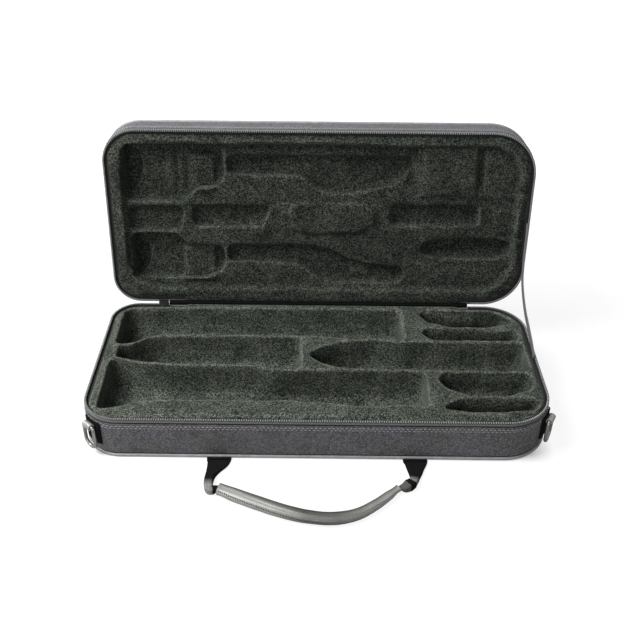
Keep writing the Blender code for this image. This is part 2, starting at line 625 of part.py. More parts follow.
def build_half(prefix, panel_name, side, height, parent):
    """Shell, skins, welt, zip tape and hinge fabric of one half."""
    band_low = PIPING_TOP + GAP
    band_high = height - RIM_DROP
    floor = PANEL_THICK + GAP
    wall = SHELL_INSET + SHELL_WALL
    half_object(panel_name, [(PANEL_INSET, 0.0), (PANEL_INSET, PANEL_THICK)], side, height, NYLON, parent)
    half_object(prefix + "_side_band", ring_levels(0.0, BAND_THICK, band_low, band_high),
                side, height, NYLON, parent, closed=True)
    shell_levels = (
        (PANEL_INSET, floor), (PANEL_INSET, band_low), (SHELL_INSET, band_low), (SHELL_INSET, band_high),
        (wall, band_high), (wall, floor + SHELL_WALL),
    )
    half_object(prefix + "_shell", shell_levels, side, height, BOARD, parent)
    tape_low = band_high + GAP
    half_object(prefix + "_zip_tape", ring_levels(TAPE_INSET, TAPE_THICK, tape_low, tape_low + TAPE_TALL),
                side, height, TAPE, parent, closed=True)
    near, far = sorted((side * ZIP_HALF_GAP, side * (ZIP_HALF_GAP + CHAIN_TALL)))
    block(prefix + "_hinge_web", (WEB_LEFT, -WEB_INSET - WEB_THICK, near), (WEB_RIGHT, -WEB_INSET, far),
          NYLON, parent)


def build_piping(name, side, height, parent):
    """The welt cord that is sewn into the outer edge of a half."""
    levels = []
    for index in range(PIPING_SIDES):
        angle = 2 * math.pi * index / PIPING_SIDES
        inset = PIPING_RADIUS - PIPING_PROUD - PIPING_RADIUS * math.cos(angle)
        levels.append((inset, GAP + PIPING_RADIUS + PIPING_RADIUS * math.sin(angle)))
    half_object(name, levels, side, height, WELT, parent, closed=True, smooth=True)


def build_chain(name, side, height, parent, left_end):
    """Half of the zip: a strip along the rim that is left out along the hinge."""
    high = height - ZIP_HALF_GAP
    chain = half_object(name, ring_levels(CHAIN_INSET, CHAIN_THICK, high - CHAIN_TALL, high),
                        side, height, TEETH, parent, closed=True)
    reach = CHAIN_INSET + CHAIN_THICK + OVERRUN
    low = (left_end, -reach, -height)
    opening = block("cut_" + name, low, (WEB_RIGHT + GAP, OVERRUN, height), parent=parent)
    boolean(chain, opening)


def build_slider():
    """Zip slider with its two wings, and the post that the pull hangs on."""
    outer = -CHAIN_INSET + GAP
    inner = -CHAIN_INSET - CHAIN_THICK - GAP
    half_length = SLIDER_LENGTH / 2
    bm = bmesh.new()
    section = (
        (outer + SLIDER_PLATE, -SLIDER_TALL_BELOW), (outer + SLIDER_PLATE, SLIDER_TALL_ABOVE),
        (outer, SLIDER_TALL_ABOVE), (outer, SLIDER_BRIDGE / 2), (inner, SLIDER_BRIDGE / 2),
        (inner, SLIDER_TALL_ABOVE), (inner - SLIDER_PLATE, SLIDER_TALL_ABOVE),
        (inner - SLIDER_PLATE, -SLIDER_TALL_BELOW), (inner, -SLIDER_TALL_BELOW),
        (inner, -SLIDER_BRIDGE / 2), (outer, -SLIDER_BRIDGE / 2), (outer, -SLIDER_TALL_BELOW),
    )
    skin(bm, [[(x, y, z) for y, z in section] for x in (-half_length, half_length)])
    slider = mesh_object("zip_slider", bm, NICKEL, SLIDER_PIVOT)
    face = outer + SLIDER_PLATE
    beyond = face + PULL_THICK + 2 * GAP
    post = pin("add_slider_post", POST_RADIUS, face - SLIDER_PLATE / 2, beyond + POST_HEAD_THICK / 2)
    head = pin("add_slider_head", POST_HEAD_RADIUS, beyond, beyond + POST_HEAD_THICK)
    boolean(slider, post, "UNION")
    boolean(slider, head, "UNION")


def pin(name, radius, start, end):
    """A round cutter or stud about the axis that the pull turns on."""
    bm = bmesh.new()
    depth = end - start
    bmesh.ops.create_cone(bm, cap_ends=True, segments=PIN_SIDES, radius1=radius, radius2=radius, depth=depth)
    bmesh.ops.rotate(bm, matrix=Matrix.Rotation(math.pi / 2, 3, "X"), verts=bm.verts[:])
    bmesh.ops.translate(bm, vec=(0.0, (start + end) / 2, 0.0), verts=bm.verts[:])
    return mesh_object(name, bm, parent=PULL_PIVOT)


def build_pull():
    """Flat zip pull that hangs from the slider's post."""
    start = -CHAIN_INSET + GAP + SLIDER_PLATE + GAP
    half_width = PULL_WIDTH / 2
    low = half_width - PULL_LENGTH
    corners = ((-half_width, low), (half_width, low), (half_width, half_width), (-half_width, half_width))
    outline = fillet(corners, [PULL_CORNER] * len(corners), FILLET_STEPS)
    bm = bmesh.new()
    skin(bm, [[(x, y, z) for x, z in outline] for y in (start, start + PULL_THICK)])
    pull = mesh_object("zip_pull", bm, NICKEL, PULL_PIVOT)
    boolean(pull, pin("cut_pull_eye", POST_RADIUS + GAP, start - OVERRUN, start + PULL_THICK + OVERRUN))


def build_ribbon():
    """Flat stay between the lid and the base, slack while the lid stands open."""
    x = CASE_LENGTH / 2 - (CHAIN_INSET + CHAIN_THICK + INSERT_INSET) / 2
    lean = Vector((-math.cos(OPEN_ANGLE), math.sin(OPEN_ANGLE)))
    outward = Vector((math.sin(OPEN_ANGLE), math.cos(OPEN_ANGLE)))
    anchor = lean * RIBBON_LID_REACH
    route = [anchor + outward * (ZIP_HALF_GAP + GAP)]
    route += [Vector((-along * RIBBON_BASE_REACH, up * RIBBON_LID_REACH))
              for along, up in RIBBON_ROUTE_SHARES]
    route += [Vector((-RIBBON_BASE_REACH, -ZIP_HALF_GAP - GAP))]
    route = smooth_route(route, ROUTE_STEPS)
    edges = ([], [])
    for index, point in enumerate(route):
        ahead = route[min(index + 1, len(route) - 1)] - route[max(index - 1, 0)]
        across = Vector((-ahead.y, ahead.x)).normalized() * RIBBON_WIDTH / 2
        edges[0].append(point + across)
        edges[1].append(point - across)
    outline = edges[0] + edges[1][::-1]
    bm = bmesh.new()
    faces = (x - RIBBON_THICK / 2, x + RIBBON_THICK / 2)
    skin(bm, [[(face, y, z) for y, z in outline] for face in faces])
    mesh_object("lid_stay_ribbon", bm, RIBBON, BASE_FRAME)


def smooth_route(points, steps):
    """Points along a smooth curve through the given points, of any number of values each."""
    route = []
    for index in range(len(points) - 1):
        before = points[max(index - 1, 0)]
        start, end = points[index], points[index + 1]
        after = points[min(index + 2, len(points) - 1)]
        for step in range(steps):
            t = step / steps
            route.append(0.5 * (2 * start + (end - before) * t
                                + (2 * before - 5 * start + 4 * end - after) * t * t
                                + (3 * start - before - 3 * end + after) * t * t * t))
    route.append(points[-1])
    return route


def oval_section(centre, heading, width, tall):
    """A rounded section across the handle's path."""
    across = Vector((heading.y, -heading.x, 0.0)).normalized()
    points = []
    for index in range(HANDLE_SIDES):
        angle = 2 * math.pi * (index + 0.5) / HANDLE_SIDES
        side = math.copysign(abs(math.cos(angle)) ** SECTION_SHARE, math.cos(angle))
        up = math.copysign(abs(math.sin(angle)) ** SECTION_SHARE, math.sin(angle))
        points.append(centre + across * width / 2 * side + Vector((0.0, 0.0, tall / 2 * up)))
    return points


def handle_stations():
    """Path of the handle from tab to tab: centre, width and height, and where the grip runs."""
    half_span = TAB_SPACING / 2

    def strap(shares):
        return [Vector((across * half_span, -out * HANDLE_REACH, TAB_WIDTH * wide,
                        WEBBING_THICK + (NECK_TALL - WEBBING_THICK) * tall))
                for across, out, wide, tall in shares]

    grip = [Vector((across * half_span, -out * HANDLE_REACH, CORE_WIDTH * full, CORE_TALL * full))
            for across, out, full in HANDLE_GRIP_SHARES]
    left = strap(HANDLE_LEFT_SHARES)
    route = smooth_route(left + grip + strap(HANDLE_RIGHT_SHARES), ROUTE_STEPS)
    return route, len(left) * ROUTE_STEPS, (len(left) + len(grip) - 1) * ROUTE_STEPS


def heading_at(route, index):
    ahead = route[min(index + 1, len(route) - 1)] - route[max(index - 1, 0)]
    return Vector((ahead.x, ahead.y, 0.0)).normalized()


def strap_centre(station):
    """Centre of a strap section that lies on the floor, as far as the grip lets it."""
    rise = min(GRIP_CENTRE_Z, GAP + station[3] / 2)
    return Vector((station[0], station[1], rise - HANDLE_AXIS_Z))


def build_handle():
    route, grip_start, grip_end = handle_stations()
    lift = GRIP_CENTRE_Z - HANDLE_AXIS_Z
    bm = bmesh.new()
    loops = [nose_section(-TAB_SPACING / 2, angle) for angle in NOSE_ANGLES]
    for index, station in enumerate(route):
        centre = strap_centre(station)
        if grip_start <= index <= grip_end:
            centre.z = lift
        elif grip_start - ROUTE_STEPS < index < grip_start:
            blend = (index - grip_start + ROUTE_STEPS) / ROUTE_STEPS
            centre.z += (lift - centre.z) * blend
        elif grip_end < index < grip_end + ROUTE_STEPS:
            blend = 1 - (index - grip_end) / ROUTE_STEPS
            centre.z += (lift - centre.z) * blend
        heading = heading_at(route, index)
        loops.append(oval_section(centre, heading, station[2], station[3]))
    loops += [nose_section(TAB_SPACING / 2, angle) for angle in reversed(NOSE_ANGLES)]
    skin(bm, loops)
    mesh_object("handle_strap", bm, WEBBING, HANDLE_PIVOT)

    grip = [(route[index], heading_at(route, index)) for index in range(grip_start, grip_end + 1)]
    build_tube("handle_pad", FOAM, grip, (GAP, 0.0), (GAP, PAD_THICK))
    build_tube("handle_sleeve", SLEEVE, grip, (2 * GAP, PAD_THICK), (2 * GAP + SLEEVE_THICK, PAD_THICK))


def build_tube(name, material, grip, inner, outer):
    """A tube along the grip, from (clearance, padding) round the strap inside and outside it."""
    loops = []
    for (clearance, padding), order in ((outer, grip), (inner, grip[::-1])):
        for station, heading in order:
            centre = Vector((station[0], station[1], GRIP_CENTRE_Z - HANDLE_AXIS_Z))
            added = 2 * (clearance + padding * station[3] / CORE_TALL)
            loops.append(oval_section(centre, heading, station[2] + added, station[3] + added))
    bm = bmesh.new()
    skin(bm, loops, closed=True)
    mesh_object(name, bm, material, HANDLE_PIVOT, smooth=True)


def nose_section(x, angle):
    """Rounded root of a strap, so that it can turn beside its tab."""
    radius = WEBBING_THICK / 2
    centre = Vector((x, radius * math.sin(angle), 0.0))
    heading = Vector((0.0, -1.0, 0.0)) if x < 0 else Vector((0.0, 1.0, 0.0))
    return oval_section(centre, heading, TAB_WIDTH, WEBBING_THICK * math.cos(angle))


def build_handle_tabs():
    """Webbing that comes out of the seam below the front, where the handle turns."""
    reach = WEBBING_THICK / 2 + GAP
    seam = -CASE_DEPTH - PIPING_PROUD - GAP
    for name, side in (("left_handle_tab", -1), ("right_handle_tab", 1)):
        x = side * TAB_SPACING / 2
        low = (x - TAB_WIDTH / 2, HANDLE_AXIS_Y - HINGE_Y + reach, GAP - BASE_HEIGHT)
        high = (x + TAB_WIDTH / 2, seam, GAP + WEBBING_THICK - BASE_HEIGHT)
        block(name, low, high, WEBBING, BASE_FRAME)


def ring_place(side):
    """Centre and radius of a front corner, the direction its ring faces and the ring's bar."""
    radius = FRONT_RIGHT_RADIUS if side > 0 else FRONT_LEFT_RADIUS
    direction = RIGHT_RING_DIRECTION if side > 0 else LEFT_RING_DIRECTION
    corner = Vector((side * (CASE_LENGTH / 2 - radius), radius - CASE_DEPTH / 2))
    outward = Vector((math.cos(direction), math.sin(direction)))
    bar = corner + outward * (radius + RING_STANDOFF)
    return corner, radius, direction, bar


def build_ring(name, side):
    """D-ring of round wire that hangs from its straight bar."""
    corner, radius, direction, bar = ring_place(side)
    half = RING_WIDTH / 2 - RING_WIRE
    corners = ((half, 0.0), (-half, 0.0), (-half, -RING_DROP), (half, -RING_DROP))
    points = fillet(corners, (RING_CORNER, RING_CORNER, half, half), ARC_STEPS)
    curve = bpy.data.curves.new(name, "CURVE")
    curve.dimensions = "3D"
    curve.bevel_depth = RING_WIRE
    curve.bevel_resolution = 2
    spline = curve.splines.new("POLY")
    spline.points.add(len(points) - 1)
    for point, (along, up) in zip(spline.points, points):
        point.co = (along, 0.0, up, 1.0)
    spline.use_cyclic_u = True
    curve.materials.append(NICKEL)
    ring = bpy.data.objects.new(name, curve)
    ring.location = (bar.x, bar.y, RING_BAR_HEIGHT)
    ring.rotation_euler = (0.0, 0.0, direction + math.pi / 2)
    PARTS.objects.link(ring)


def build_ring_tab(name, side):
    """Webbing patch round the corner, with a loop for the ring's bar."""
    corner, radius, direction, bar = ring_place(side)
    reach = RING_PATCH_WIDTH / (2 * radius)

    def arc(size, start, end):
        angles = [start + (end - start) * step / ARC_STEPS for step in range(ARC_STEPS + 1)]
        return [corner + size * Vector((math.cos(angle), math.sin(angle))) for angle in angles]

    def rod(rod_name, size, long):
        solid = bmesh.new()
        bmesh.ops.create_cone(solid, cap_ends=True, segments=PIN_SIDES, radius1=size, radius2=size,
                              depth=long)
        piece = mesh_object(rod_name, solid)
        piece.location = (bar.x, bar.y, RING_BAR_HEIGHT)
        piece.rotation_euler = (math.pi / 2, 0.0, direction)
        return piece

    outline = arc(radius + GAP + WEBBING_THICK, direction - reach, direction + reach)
    outline += arc(radius + GAP, direction + reach, direction - reach)
    bm = bmesh.new()
    skin(bm, [lifted(outline, z) for z in (RING_PATCH_LOW, RING_PATCH_LOW + RING_PATCH_TALL)])
    tab = mesh_object(name, bm, WEBBING)
    eye = RING_WIRE + GAP
    loop_width = RING_WIDTH - 4 * RING_WIRE - 2 * RING_TAB_SLACK
    boolean(tab, rod("add_" + name, eye + WEBBING_THICK, loop_width), "UNION")
    boolean(tab, rod("cut_" + name, eye, loop_width + 2 * OVERRUN))


build_half("base", "base_bottom_panel", BASE_SIDE, BASE_HEIGHT, BASE_FRAME)
build_half("lid", "lid_top_panel", LID_SIDE, LID_HEIGHT, LID_PIVOT)
build_piping("base_piping", BASE_SIDE, BASE_HEIGHT, BASE_FRAME)
build_piping("lid_piping", LID_SIDE, LID_HEIGHT, LID_PIVOT)
build_chain("base_zip_chain", BASE_SIDE, BASE_HEIGHT, BASE_FRAME, WEB_LEFT - GAP)
build_chain("lid_zip_chain", LID_SIDE, LID_HEIGHT, LID_PIVOT, SLIDER_X - SLIDER_LENGTH / 2 - GAP)
build_base_insert()
build_lid_insert()
build_slider()
build_pull()
build_ribbon()
build_handle_tabs()
build_handle()
build_ring("left_d_ring", -1)
build_ring("right_d_ring", 1)
build_ring_tab("left_ring_tab", -1)
build_ring_tab("right_ring_tab", 1)
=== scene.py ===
"""Finish of the open clarinet case: plush, nylon, zip, webbing, grip and rings round the frame."""

import json
import math

import bmesh
import bpy
from mathutils import Matrix, Vector, noise
from mathutils.kdtree import KDTree


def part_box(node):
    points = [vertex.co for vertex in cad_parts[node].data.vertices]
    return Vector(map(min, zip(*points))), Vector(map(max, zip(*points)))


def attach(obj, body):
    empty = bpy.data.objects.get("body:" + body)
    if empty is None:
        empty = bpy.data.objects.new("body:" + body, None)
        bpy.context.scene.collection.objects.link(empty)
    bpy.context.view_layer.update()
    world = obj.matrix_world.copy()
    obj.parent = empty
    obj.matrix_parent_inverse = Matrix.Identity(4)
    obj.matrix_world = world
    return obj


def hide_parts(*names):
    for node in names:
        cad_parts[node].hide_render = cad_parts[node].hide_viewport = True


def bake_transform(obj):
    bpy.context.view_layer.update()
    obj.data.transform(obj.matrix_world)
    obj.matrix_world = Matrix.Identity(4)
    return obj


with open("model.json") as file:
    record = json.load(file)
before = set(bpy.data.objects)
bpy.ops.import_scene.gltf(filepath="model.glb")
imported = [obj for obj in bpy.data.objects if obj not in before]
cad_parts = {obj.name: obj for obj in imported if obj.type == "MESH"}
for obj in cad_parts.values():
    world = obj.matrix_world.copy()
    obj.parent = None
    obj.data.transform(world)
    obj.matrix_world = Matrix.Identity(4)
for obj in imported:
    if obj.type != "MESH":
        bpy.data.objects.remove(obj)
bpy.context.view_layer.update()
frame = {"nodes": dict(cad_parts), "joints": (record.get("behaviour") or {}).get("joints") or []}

# Joints and boxes of the frame
JOINTS = {joint["name"]: joint for joint in frame["joints"]}
HINGE = Vector(JOINTS["lid_hinge"]["pos_m"])
OPEN_ANGLE = math.radians(JOINTS["lid_hinge"]["range_deg"][1])
CASE_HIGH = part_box("base_piping")[1]
PIPING_PROUD = 0.0008
HALF_LENGTH = CASE_HIGH.x - PIPING_PROUD
HALF_DEPTH = CASE_HIGH.y - PIPING_PROUD
BASE_HEIGHT = HINGE.z
LID_HEIGHT = 0.043
OPEN_LID = (Matrix.Translation(HINGE) @ Matrix.Rotation(-OPEN_ANGLE, 4, "X")
            @ Matrix.Translation(-HINGE))

# Corners of the case: radius, then centre, from the front right anticlockwise
CORNER_RADII = (0.054, 0.050, 0.034, 0.042)
CORNER_SIDES = ((1, -1), (1, 1), (-1, 1), (-1, -1))
CORNERS = [(radius, Vector((side_x * (HALF_LENGTH - radius), side_y * (HALF_DEPTH - radius))))
           for radius, (side_x, side_y) in zip(CORNER_RADII, CORNER_SIDES)]
CORNER_STEP = math.radians(5)
STRAIGHT_STEP = 0.008

# Heights above the outer face of a half, and insets from its outer skin
SEAM_RISE = 0.0058
RIM_DROP = 0.0069
PIPING_RADIUS = 0.0020
PIPING_RISE = 0.0023


def round_stretches():
    """Straights and corners round the case from the front left.

    Each is (start, length, radius, centre, heading); a straight's radius is 0.
    """
    stretches = []
    distance = 0.0
    for index, (radius, centre) in enumerate(CORNERS):
        heading = index * math.pi / 2
        before = CORNERS[index - 1][1]
        length = abs((centre - before).dot(Vector((math.cos(heading), math.sin(heading)))))
        stretches.append((distance, length, 0.0, before, heading))
        distance += length
        stretches.append((distance, radius * math.pi / 2, radius, centre, heading))
        distance += radius * math.pi / 2
    return stretches, distance


STRETCHES, ROUND = round_stretches()


def place_round(distance, inset=0.0):
    """Plan point and outward direction at a distance round the case."""
    distance %= ROUND
    for start, length, radius, centre, heading in reversed(STRETCHES):
        if distance >= start:
            break
    along = distance - start
    if radius:
        angle = heading - math.pi / 2 + along / radius
        outward = Vector((math.cos(angle), math.sin(angle)))
        return centre + outward * (radius - inset), outward
    forward = Vector((math.cos(heading), math.sin(heading)))
    outward = Vector((forward.y, -forward.x))
    reach = next(size for size, place in CORNERS if place == centre)
    return centre + forward * along + outward * (reach - inset), outward


def distance_round(x, y):
    """How far round the case a plan point near its edge is."""
    for start, length, radius, centre, heading in STRETCHES:
        forward = Vector((math.cos(heading), math.sin(heading)))
        outward = Vector((forward.y, -forward.x))
        offset = Vector((x, y)) - centre
        along = offset.dot(forward)
        out = offset.dot(outward)
        if radius and along >= 0 and out >= 0:
            return start + radius * math.atan2(along, out)
        if not radius and 0 <= along <= length and out > 0:
            return start + along
    return 0.0


def finish_piece(name, bm, material, body, stands_for=(), sharp=40):
    """Make a bmesh into a piece that rides on a body. The lid's pieces are built shut and opened here."""
    if body == "lid":
        bmesh.ops.transform(bm, matrix=OPEN_LID, verts=bm.verts[:])
    mesh = bpy.data.meshes.new(name)
    bm.to_mesh(mesh)
    bm.free()
    piece = bpy.data.objects.new(name, mesh)
    bpy.context.scene.collection.objects.link(piece)
    mesh.materials.append(material)
    mesh.shade_smooth()
    mesh.set_sharp_from_angle(angle=math.radians(sharp))
    if body:
        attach(piece, body)
    if stands_for:
        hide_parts(*stands_for)
    return piece


def lay_cloth(bm, pattern):
    """Set the cloth's pattern on each face's corners, from their points."""
    layer = bm.loops.layers.uv.verify()
    for face in bm.faces:
        for loop in face.loops:
            loop[layer].uv = pattern(loop.vert.co)


def past_seam(rounds, whole):
    """Distances round at a face's corners, carried on past the start where the face crosses it."""
    wraps = max(rounds) - min(rounds) > whole / 2
    return [around + whole if wraps and around < whole / 2 else around for around in rounds]


def lay_cloth_round(bm):
    """Give faces that run round the case a cloth pattern: distance round, then height."""
    layer = bm.loops.layers.uv.verify()
    for face in bm.faces:
        rounds = [distance_round(loop.vert.co.x, loop.vert.co.y) for loop in face.loops]
        for loop, around in zip(face.loops, past_seam(rounds, ROUND)):
            loop[layer].uv = (around, loop.vert.co.z)


def sweep_round(profile, closed=True):
    """Run a section of (inset, height) points round the case."""
    bm = bmesh.new()
    start, outward = place_round(0.0)
    verts = []
    for inset, height in profile:
        point = start - outward * inset
        verts.append(bm.verts.new((point.x, point.y, height)))
    ends = range(len(verts) if closed else len(verts) - 1)
    strand = verts + [bm.edges.new((verts[index], verts[(index + 1) % len(verts)])) for index in ends]
    for _, length, radius, centre, heading in STRETCHES:
        if radius:
            steps = round(math.pi / 2 / CORNER_STEP)
            turned = bmesh.ops.spin(bm, geom=strand, cent=(centre.x, centre.y, 0.0), axis=(0, 0, 1),
                                    dvec=(0, 0, 0), angle=math.pi / 2, steps=steps)
        else:
            steps = max(1, round(length / STRAIGHT_STEP))
            step = Vector((math.cos(heading), math.sin(heading), 0.0)) * length / steps
            turned = bmesh.ops.spin(bm, geom=strand, cent=(0, 0, 0), axis=(0, 0, 1),
                                    dvec=step, angle=0.0, steps=steps)
        strand = turned["geom_last"]
    bmesh.ops.remove_doubles(bm, verts=bm.verts[:], dist=1e-6)
    bmesh.ops.recalc_face_normals(bm, faces=bm.faces[:])
    return bm


def shut_height(rise, side, height):
    """Height, with the lid shut, of a point given up from a half's outer face."""
    return rise if side == "base" else BASE_HEIGHT + height - rise


def half_heights(profile, side, height):
    """Heights with the lid shut for a section's (inset, rise from the half's outer face) points."""
    return [(inset, shut_height(rise, side, height)) for inset, rise in profile]


def below_zip(section, side, height):
    """Heights with the lid shut for (inset, drop below the plane where the halves meet) points."""
    return half_heights([(inset, height - drop) for inset, drop in section], side, height)


def unevenness(bm, amount, size, seed, inward=True):
    """Push a skin in and out a little, as cloth over board is never quite flat."""
    for vert in bm.verts:
        swell = noise.noise(vert.co / size + Vector((seed, 0.0, 0.0)))
        push = amount * (swell - 1.0) / 2 if inward else amount * swell
        vert.co += vert.normal * push


def copies(bm, template, places):
    """Set a copy of a small shape at each place."""
    for place in places:
        before = len(bm.verts)
        bm.from_mesh(template)
        bm.verts.ensure_lookup_table()
        bmesh.ops.transform(bm, matrix=place, verts=bm.verts[before:])


def block(size, bevel, segments, middle=(0.0, 0.0, 0.0)):
    """A block with rounded edges."""
    bm = bmesh.new()
    bmesh.ops.create_cube(bm, size=1.0)
    bmesh.ops.scale(bm, vec=size, verts=bm.verts[:])
    bmesh.ops.translate(bm, vec=middle, verts=bm.verts[:])
    bmesh.ops.bevel(bm, geom=bm.edges[:], offset=bevel, offset_type="OFFSET", segments=segments,
                    profile=0.5, affect="EDGES", material=-1)
    return bm


def small_shape(size, bevel):
    """A small block, as a mesh to copy."""
    bm = block(size, bevel, 1)
    mesh = bpy.data.meshes.new("small_shape")
    bm.to_mesh(mesh)
    bm.free()
    return mesh


def standing(distance, inset, height, lean=0.0):
    """Place on the side of the case: x runs round it, y inwards and z up."""
    point, outward = place_round(distance, inset)
    across = Vector((-outward.y, outward.x, 0.0))
    inwards = Vector((-outward.x, -outward.y, 0.0))
    place = Matrix((across, inwards, (0, 0, 1))).transposed().to_4x4()
    place.translation = (point.x, point.y, height)
    return place @ Matrix.Rotation(lean, 4, "Y")


def sweep(sections, closed_path=False):
    """Join sections of equally many points into a skin, with a cloth pattern along and round it."""
    bm = bmesh.new()
    layer = bm.verts.layers.float_vector.new("cloth")
    outline = [Vector(point) for point in sections[0]]
    count = len(outline)
    girth = sum((outline[index] - outline[index - 1]).length for index in range(count))
    first = [bm.verts.new(point) for point in outline]
    edges = [bm.edges.new((first[index - 1], first[index])) for index in range(count)]
    if not closed_path:
        bmesh.ops.edgeloop_fill(bm, edges=edges)
    verts = first
    along = 0.0
    middle = sum(outline, Vector()) / count
    for index, vert in enumerate(verts):
        vert[layer] = (0.0, girth * index / count, 0.0)
    rest = [*sections[1:], sections[0]] if closed_path else sections[1:]
    for points in rest:
        drawn = bmesh.ops.extrude_edge_only(bm, edges=edges)["geom"]
        edges = [item for item in drawn if isinstance(item, bmesh.types.BMEdge)]
        fresh = {item for item in drawn if isinstance(item, bmesh.types.BMVert)}
        verts = [next(edge.other_vert(vert) for edge in vert.link_edges if edge.other_vert(vert) in fresh)
                 for vert in verts]
        centre = sum((Vector(point) for point in points), Vector()) / count
        along += (centre - middle).length
        middle = centre
        for index, (vert, point) in enumerate(zip(verts, points)):
            vert.co = point
            vert[layer] = (along, girth * index / count, 0.0)
    lay_cloth_along(bm, layer, girth)
    if closed_path:
        bmesh.ops.weld_verts(bm, targetmap=dict(zip(verts, first)))
    else:
        bmesh.ops.edgeloop_fill(bm, edges=edges)
    bmesh.ops.recalc_face_normals(bm, faces=bm.faces[:])
    return bm


def lay_cloth_along(bm, layer, girth):
    """Carry the pattern from the points to the faces, across the seam as well."""
    pattern = bm.loops.layers.uv.verify()
    for face in bm.faces:
        rounds = [loop.vert[layer].y for loop in face.loops]
        for loop, around in zip(face.loops, past_seam(rounds, girth)):
            loop[pattern].uv = (loop.vert[layer].x, around)


def smooth_route(points, steps):
    """Points along a smooth curve through the given points."""
    points = [Vector(point) for point in points]
    route = []
    for index in range(len(points) - 1):
        before = points[max(index - 1, 0)]
        start, end = points[index], points[index + 1]
        after = points[min(index + 2, len(points) - 1)]
        for step in range(steps):
            t = step / steps
            route.append(0.5 * (2 * start + (end - before) * t
                                + (2 * before - 5 * start + 4 * end - after) * t * t
                                + (3 * start - before - 3 * end + after) * t * t * t))
    route.append(points[-1])
    return route


def ahead_at(route, index):
    """From the point before to the point after, at an end from or to the end itself."""
    return route[min(index + 1, len(route) - 1)] - route[max(index - 1, 0)]


def limited(value, low=0.0, high=1.0):
    """The value, or the limit that it passes."""
    return max(low, min(high, value))


# Materials

def as_colour(value):
    """Red, green, blue and alpha. A single number is a grey."""
    return (*value, 1.0) if isinstance(value, tuple) else (value, value, value, 1.0)


class Nodes:
    """A node tree under way, by short calls."""

    def __init__(self, tree):
        self.tree = tree

    def node(self, kind, settings=None, **inputs):
        """A new node. Inputs go by name, or by number as i0, i1 and so on."""
        made = self.tree.nodes.new(kind)
        for key, value in (settings or {}).items():
            setattr(made, key, value)
        for key, value in inputs.items():
            self.feed(made, int(key[1:]) if key[1:].isdigit() else key.replace("_", " "), value)
        return made

    def feed(self, made, key, value):
        socket = made.inputs[key]
        if isinstance(value, bpy.types.NodeSocket):
            self.tree.links.new(value, socket)
        else:
            socket.default_value = as_colour(value) if socket.type == "RGBA" else value

    def math(self, operation, first, second=0.0, third=0.0):
        made = self.node("ShaderNodeMath", {"operation": operation}, i0=first, i1=second, i2=third)
        return made.outputs[0]

    def weighed(self, *values, start=0.0):
        """Values, each times its weight, added to a start."""
        total = start
        for value, weight in values:
            total = self.math("MULTIPLY_ADD", value, weight, total)
        return total

    def past(self, value, limit):
        """How far a value is past a limit, and 0 below it."""
        return self.math("MAXIMUM", self.math("SUBTRACT", value, limit), 0.0)

    def ribs(self, across, pitch):
        """Round ridges, one to each pitch."""
        return self.math("ABSOLUTE", self.math("SINE", self.math("MULTIPLY", across, math.pi / pitch)))

    def place(self, kind="Object"):
        return self.node("ShaderNodeTexCoord").outputs[kind]

    def attribute(self, name):
        return self.node("ShaderNodeAttribute", {"attribute_name": name}).outputs["Fac"]

    def noise(self, where, scale, detail=2.0, roughness=0.5, distortion=0.0):
        made = self.node("ShaderNodeTexNoise", Vector=where, Scale=scale, Detail=detail,
                         Roughness=roughness, Distortion=distortion)
        return made.outputs["Fac"]

    def ramp(self, value, *stops):
        made = self.node("ShaderNodeValToRGB", Fac=value)
        elements = made.color_ramp.elements
        while len(elements) < len(stops):
            elements.new(0.5)
        for element, (position, colour) in zip(elements, stops):
            element.position = position
            element.color = as_colour(colour)
        return made.outputs["Color"]

    def mix(self, amount, first, second, kind="MIX"):
        made = self.node("ShaderNodeMix", {"data_type": "RGBA", "blend_type": kind},
                         i0=amount, i6=first, i7=second)
        return made.outputs[2]

    def split(self, vector):
        made = self.node("ShaderNodeSeparateXYZ", Vector=vector)
        return made.outputs[0], made.outputs[1]

    def join(self, x, y):
        return self.node("ShaderNodeCombineXYZ", X=x, Y=y).outputs[0]


class Finish(Nodes):
    """A material under way."""

    def __init__(self, name, roughness, metallic=0.0, specular=0.5):
        self.material = bpy.data.materials.new(name)
        self.material.use_nodes = True
        super().__init__(self.material.node_tree)
        self.shader = self.tree.nodes["Principled BSDF"]
        self.feed(self.shader, "Roughness", roughness)
        self.feed(self.shader, "Metallic", metallic)
        self.feed(self.shader, "Specular IOR Level", specular)

    def sheen(self, weight, roughness, tint):
        self.feed(self.shader, "Sheen Weight", weight)
        self.feed(self.shader, "Sheen Roughness", roughness)
        self.feed(self.shader, "Sheen Tint", tint)

    def done(self, colour, height, strength, distance):
        """Set the colour and the bump, and hand over the material."""
        self.feed(self.shader, "Base Color", colour)
        bumps = self.node("ShaderNodeBump", Height=height, Strength=strength, Distance=distance)
        self.feed(self.shader, "Normal", bumps.outputs[0])
        return self.material


# Tones of the pile where it leans away from the light, then towards it
PILE_TONES = (
    ((0.34, (0.0030, 0.0046, 0.0032)), (0.64, (0.0205, 0.0262, 0.0198)), (0.98, (0.1000, 0.1120, 0.0930))),
    ((0.32, (0.0090, 0.0120, 0.0088)), (0.62, (0.0480, 0.0560, 0.0450)), (0.96, (0.1750, 0.1880, 0.1600))),
)
PILE_LEAN = (0.35, 1.15)
NAP_WEIGHT = 1.60
LEAN_START = -0.20
CREST_FROM = 0.22
RIM_SHADE = -0.65
PRESSED_FROM = 0.58
PRESSED_SHADE = -2.4


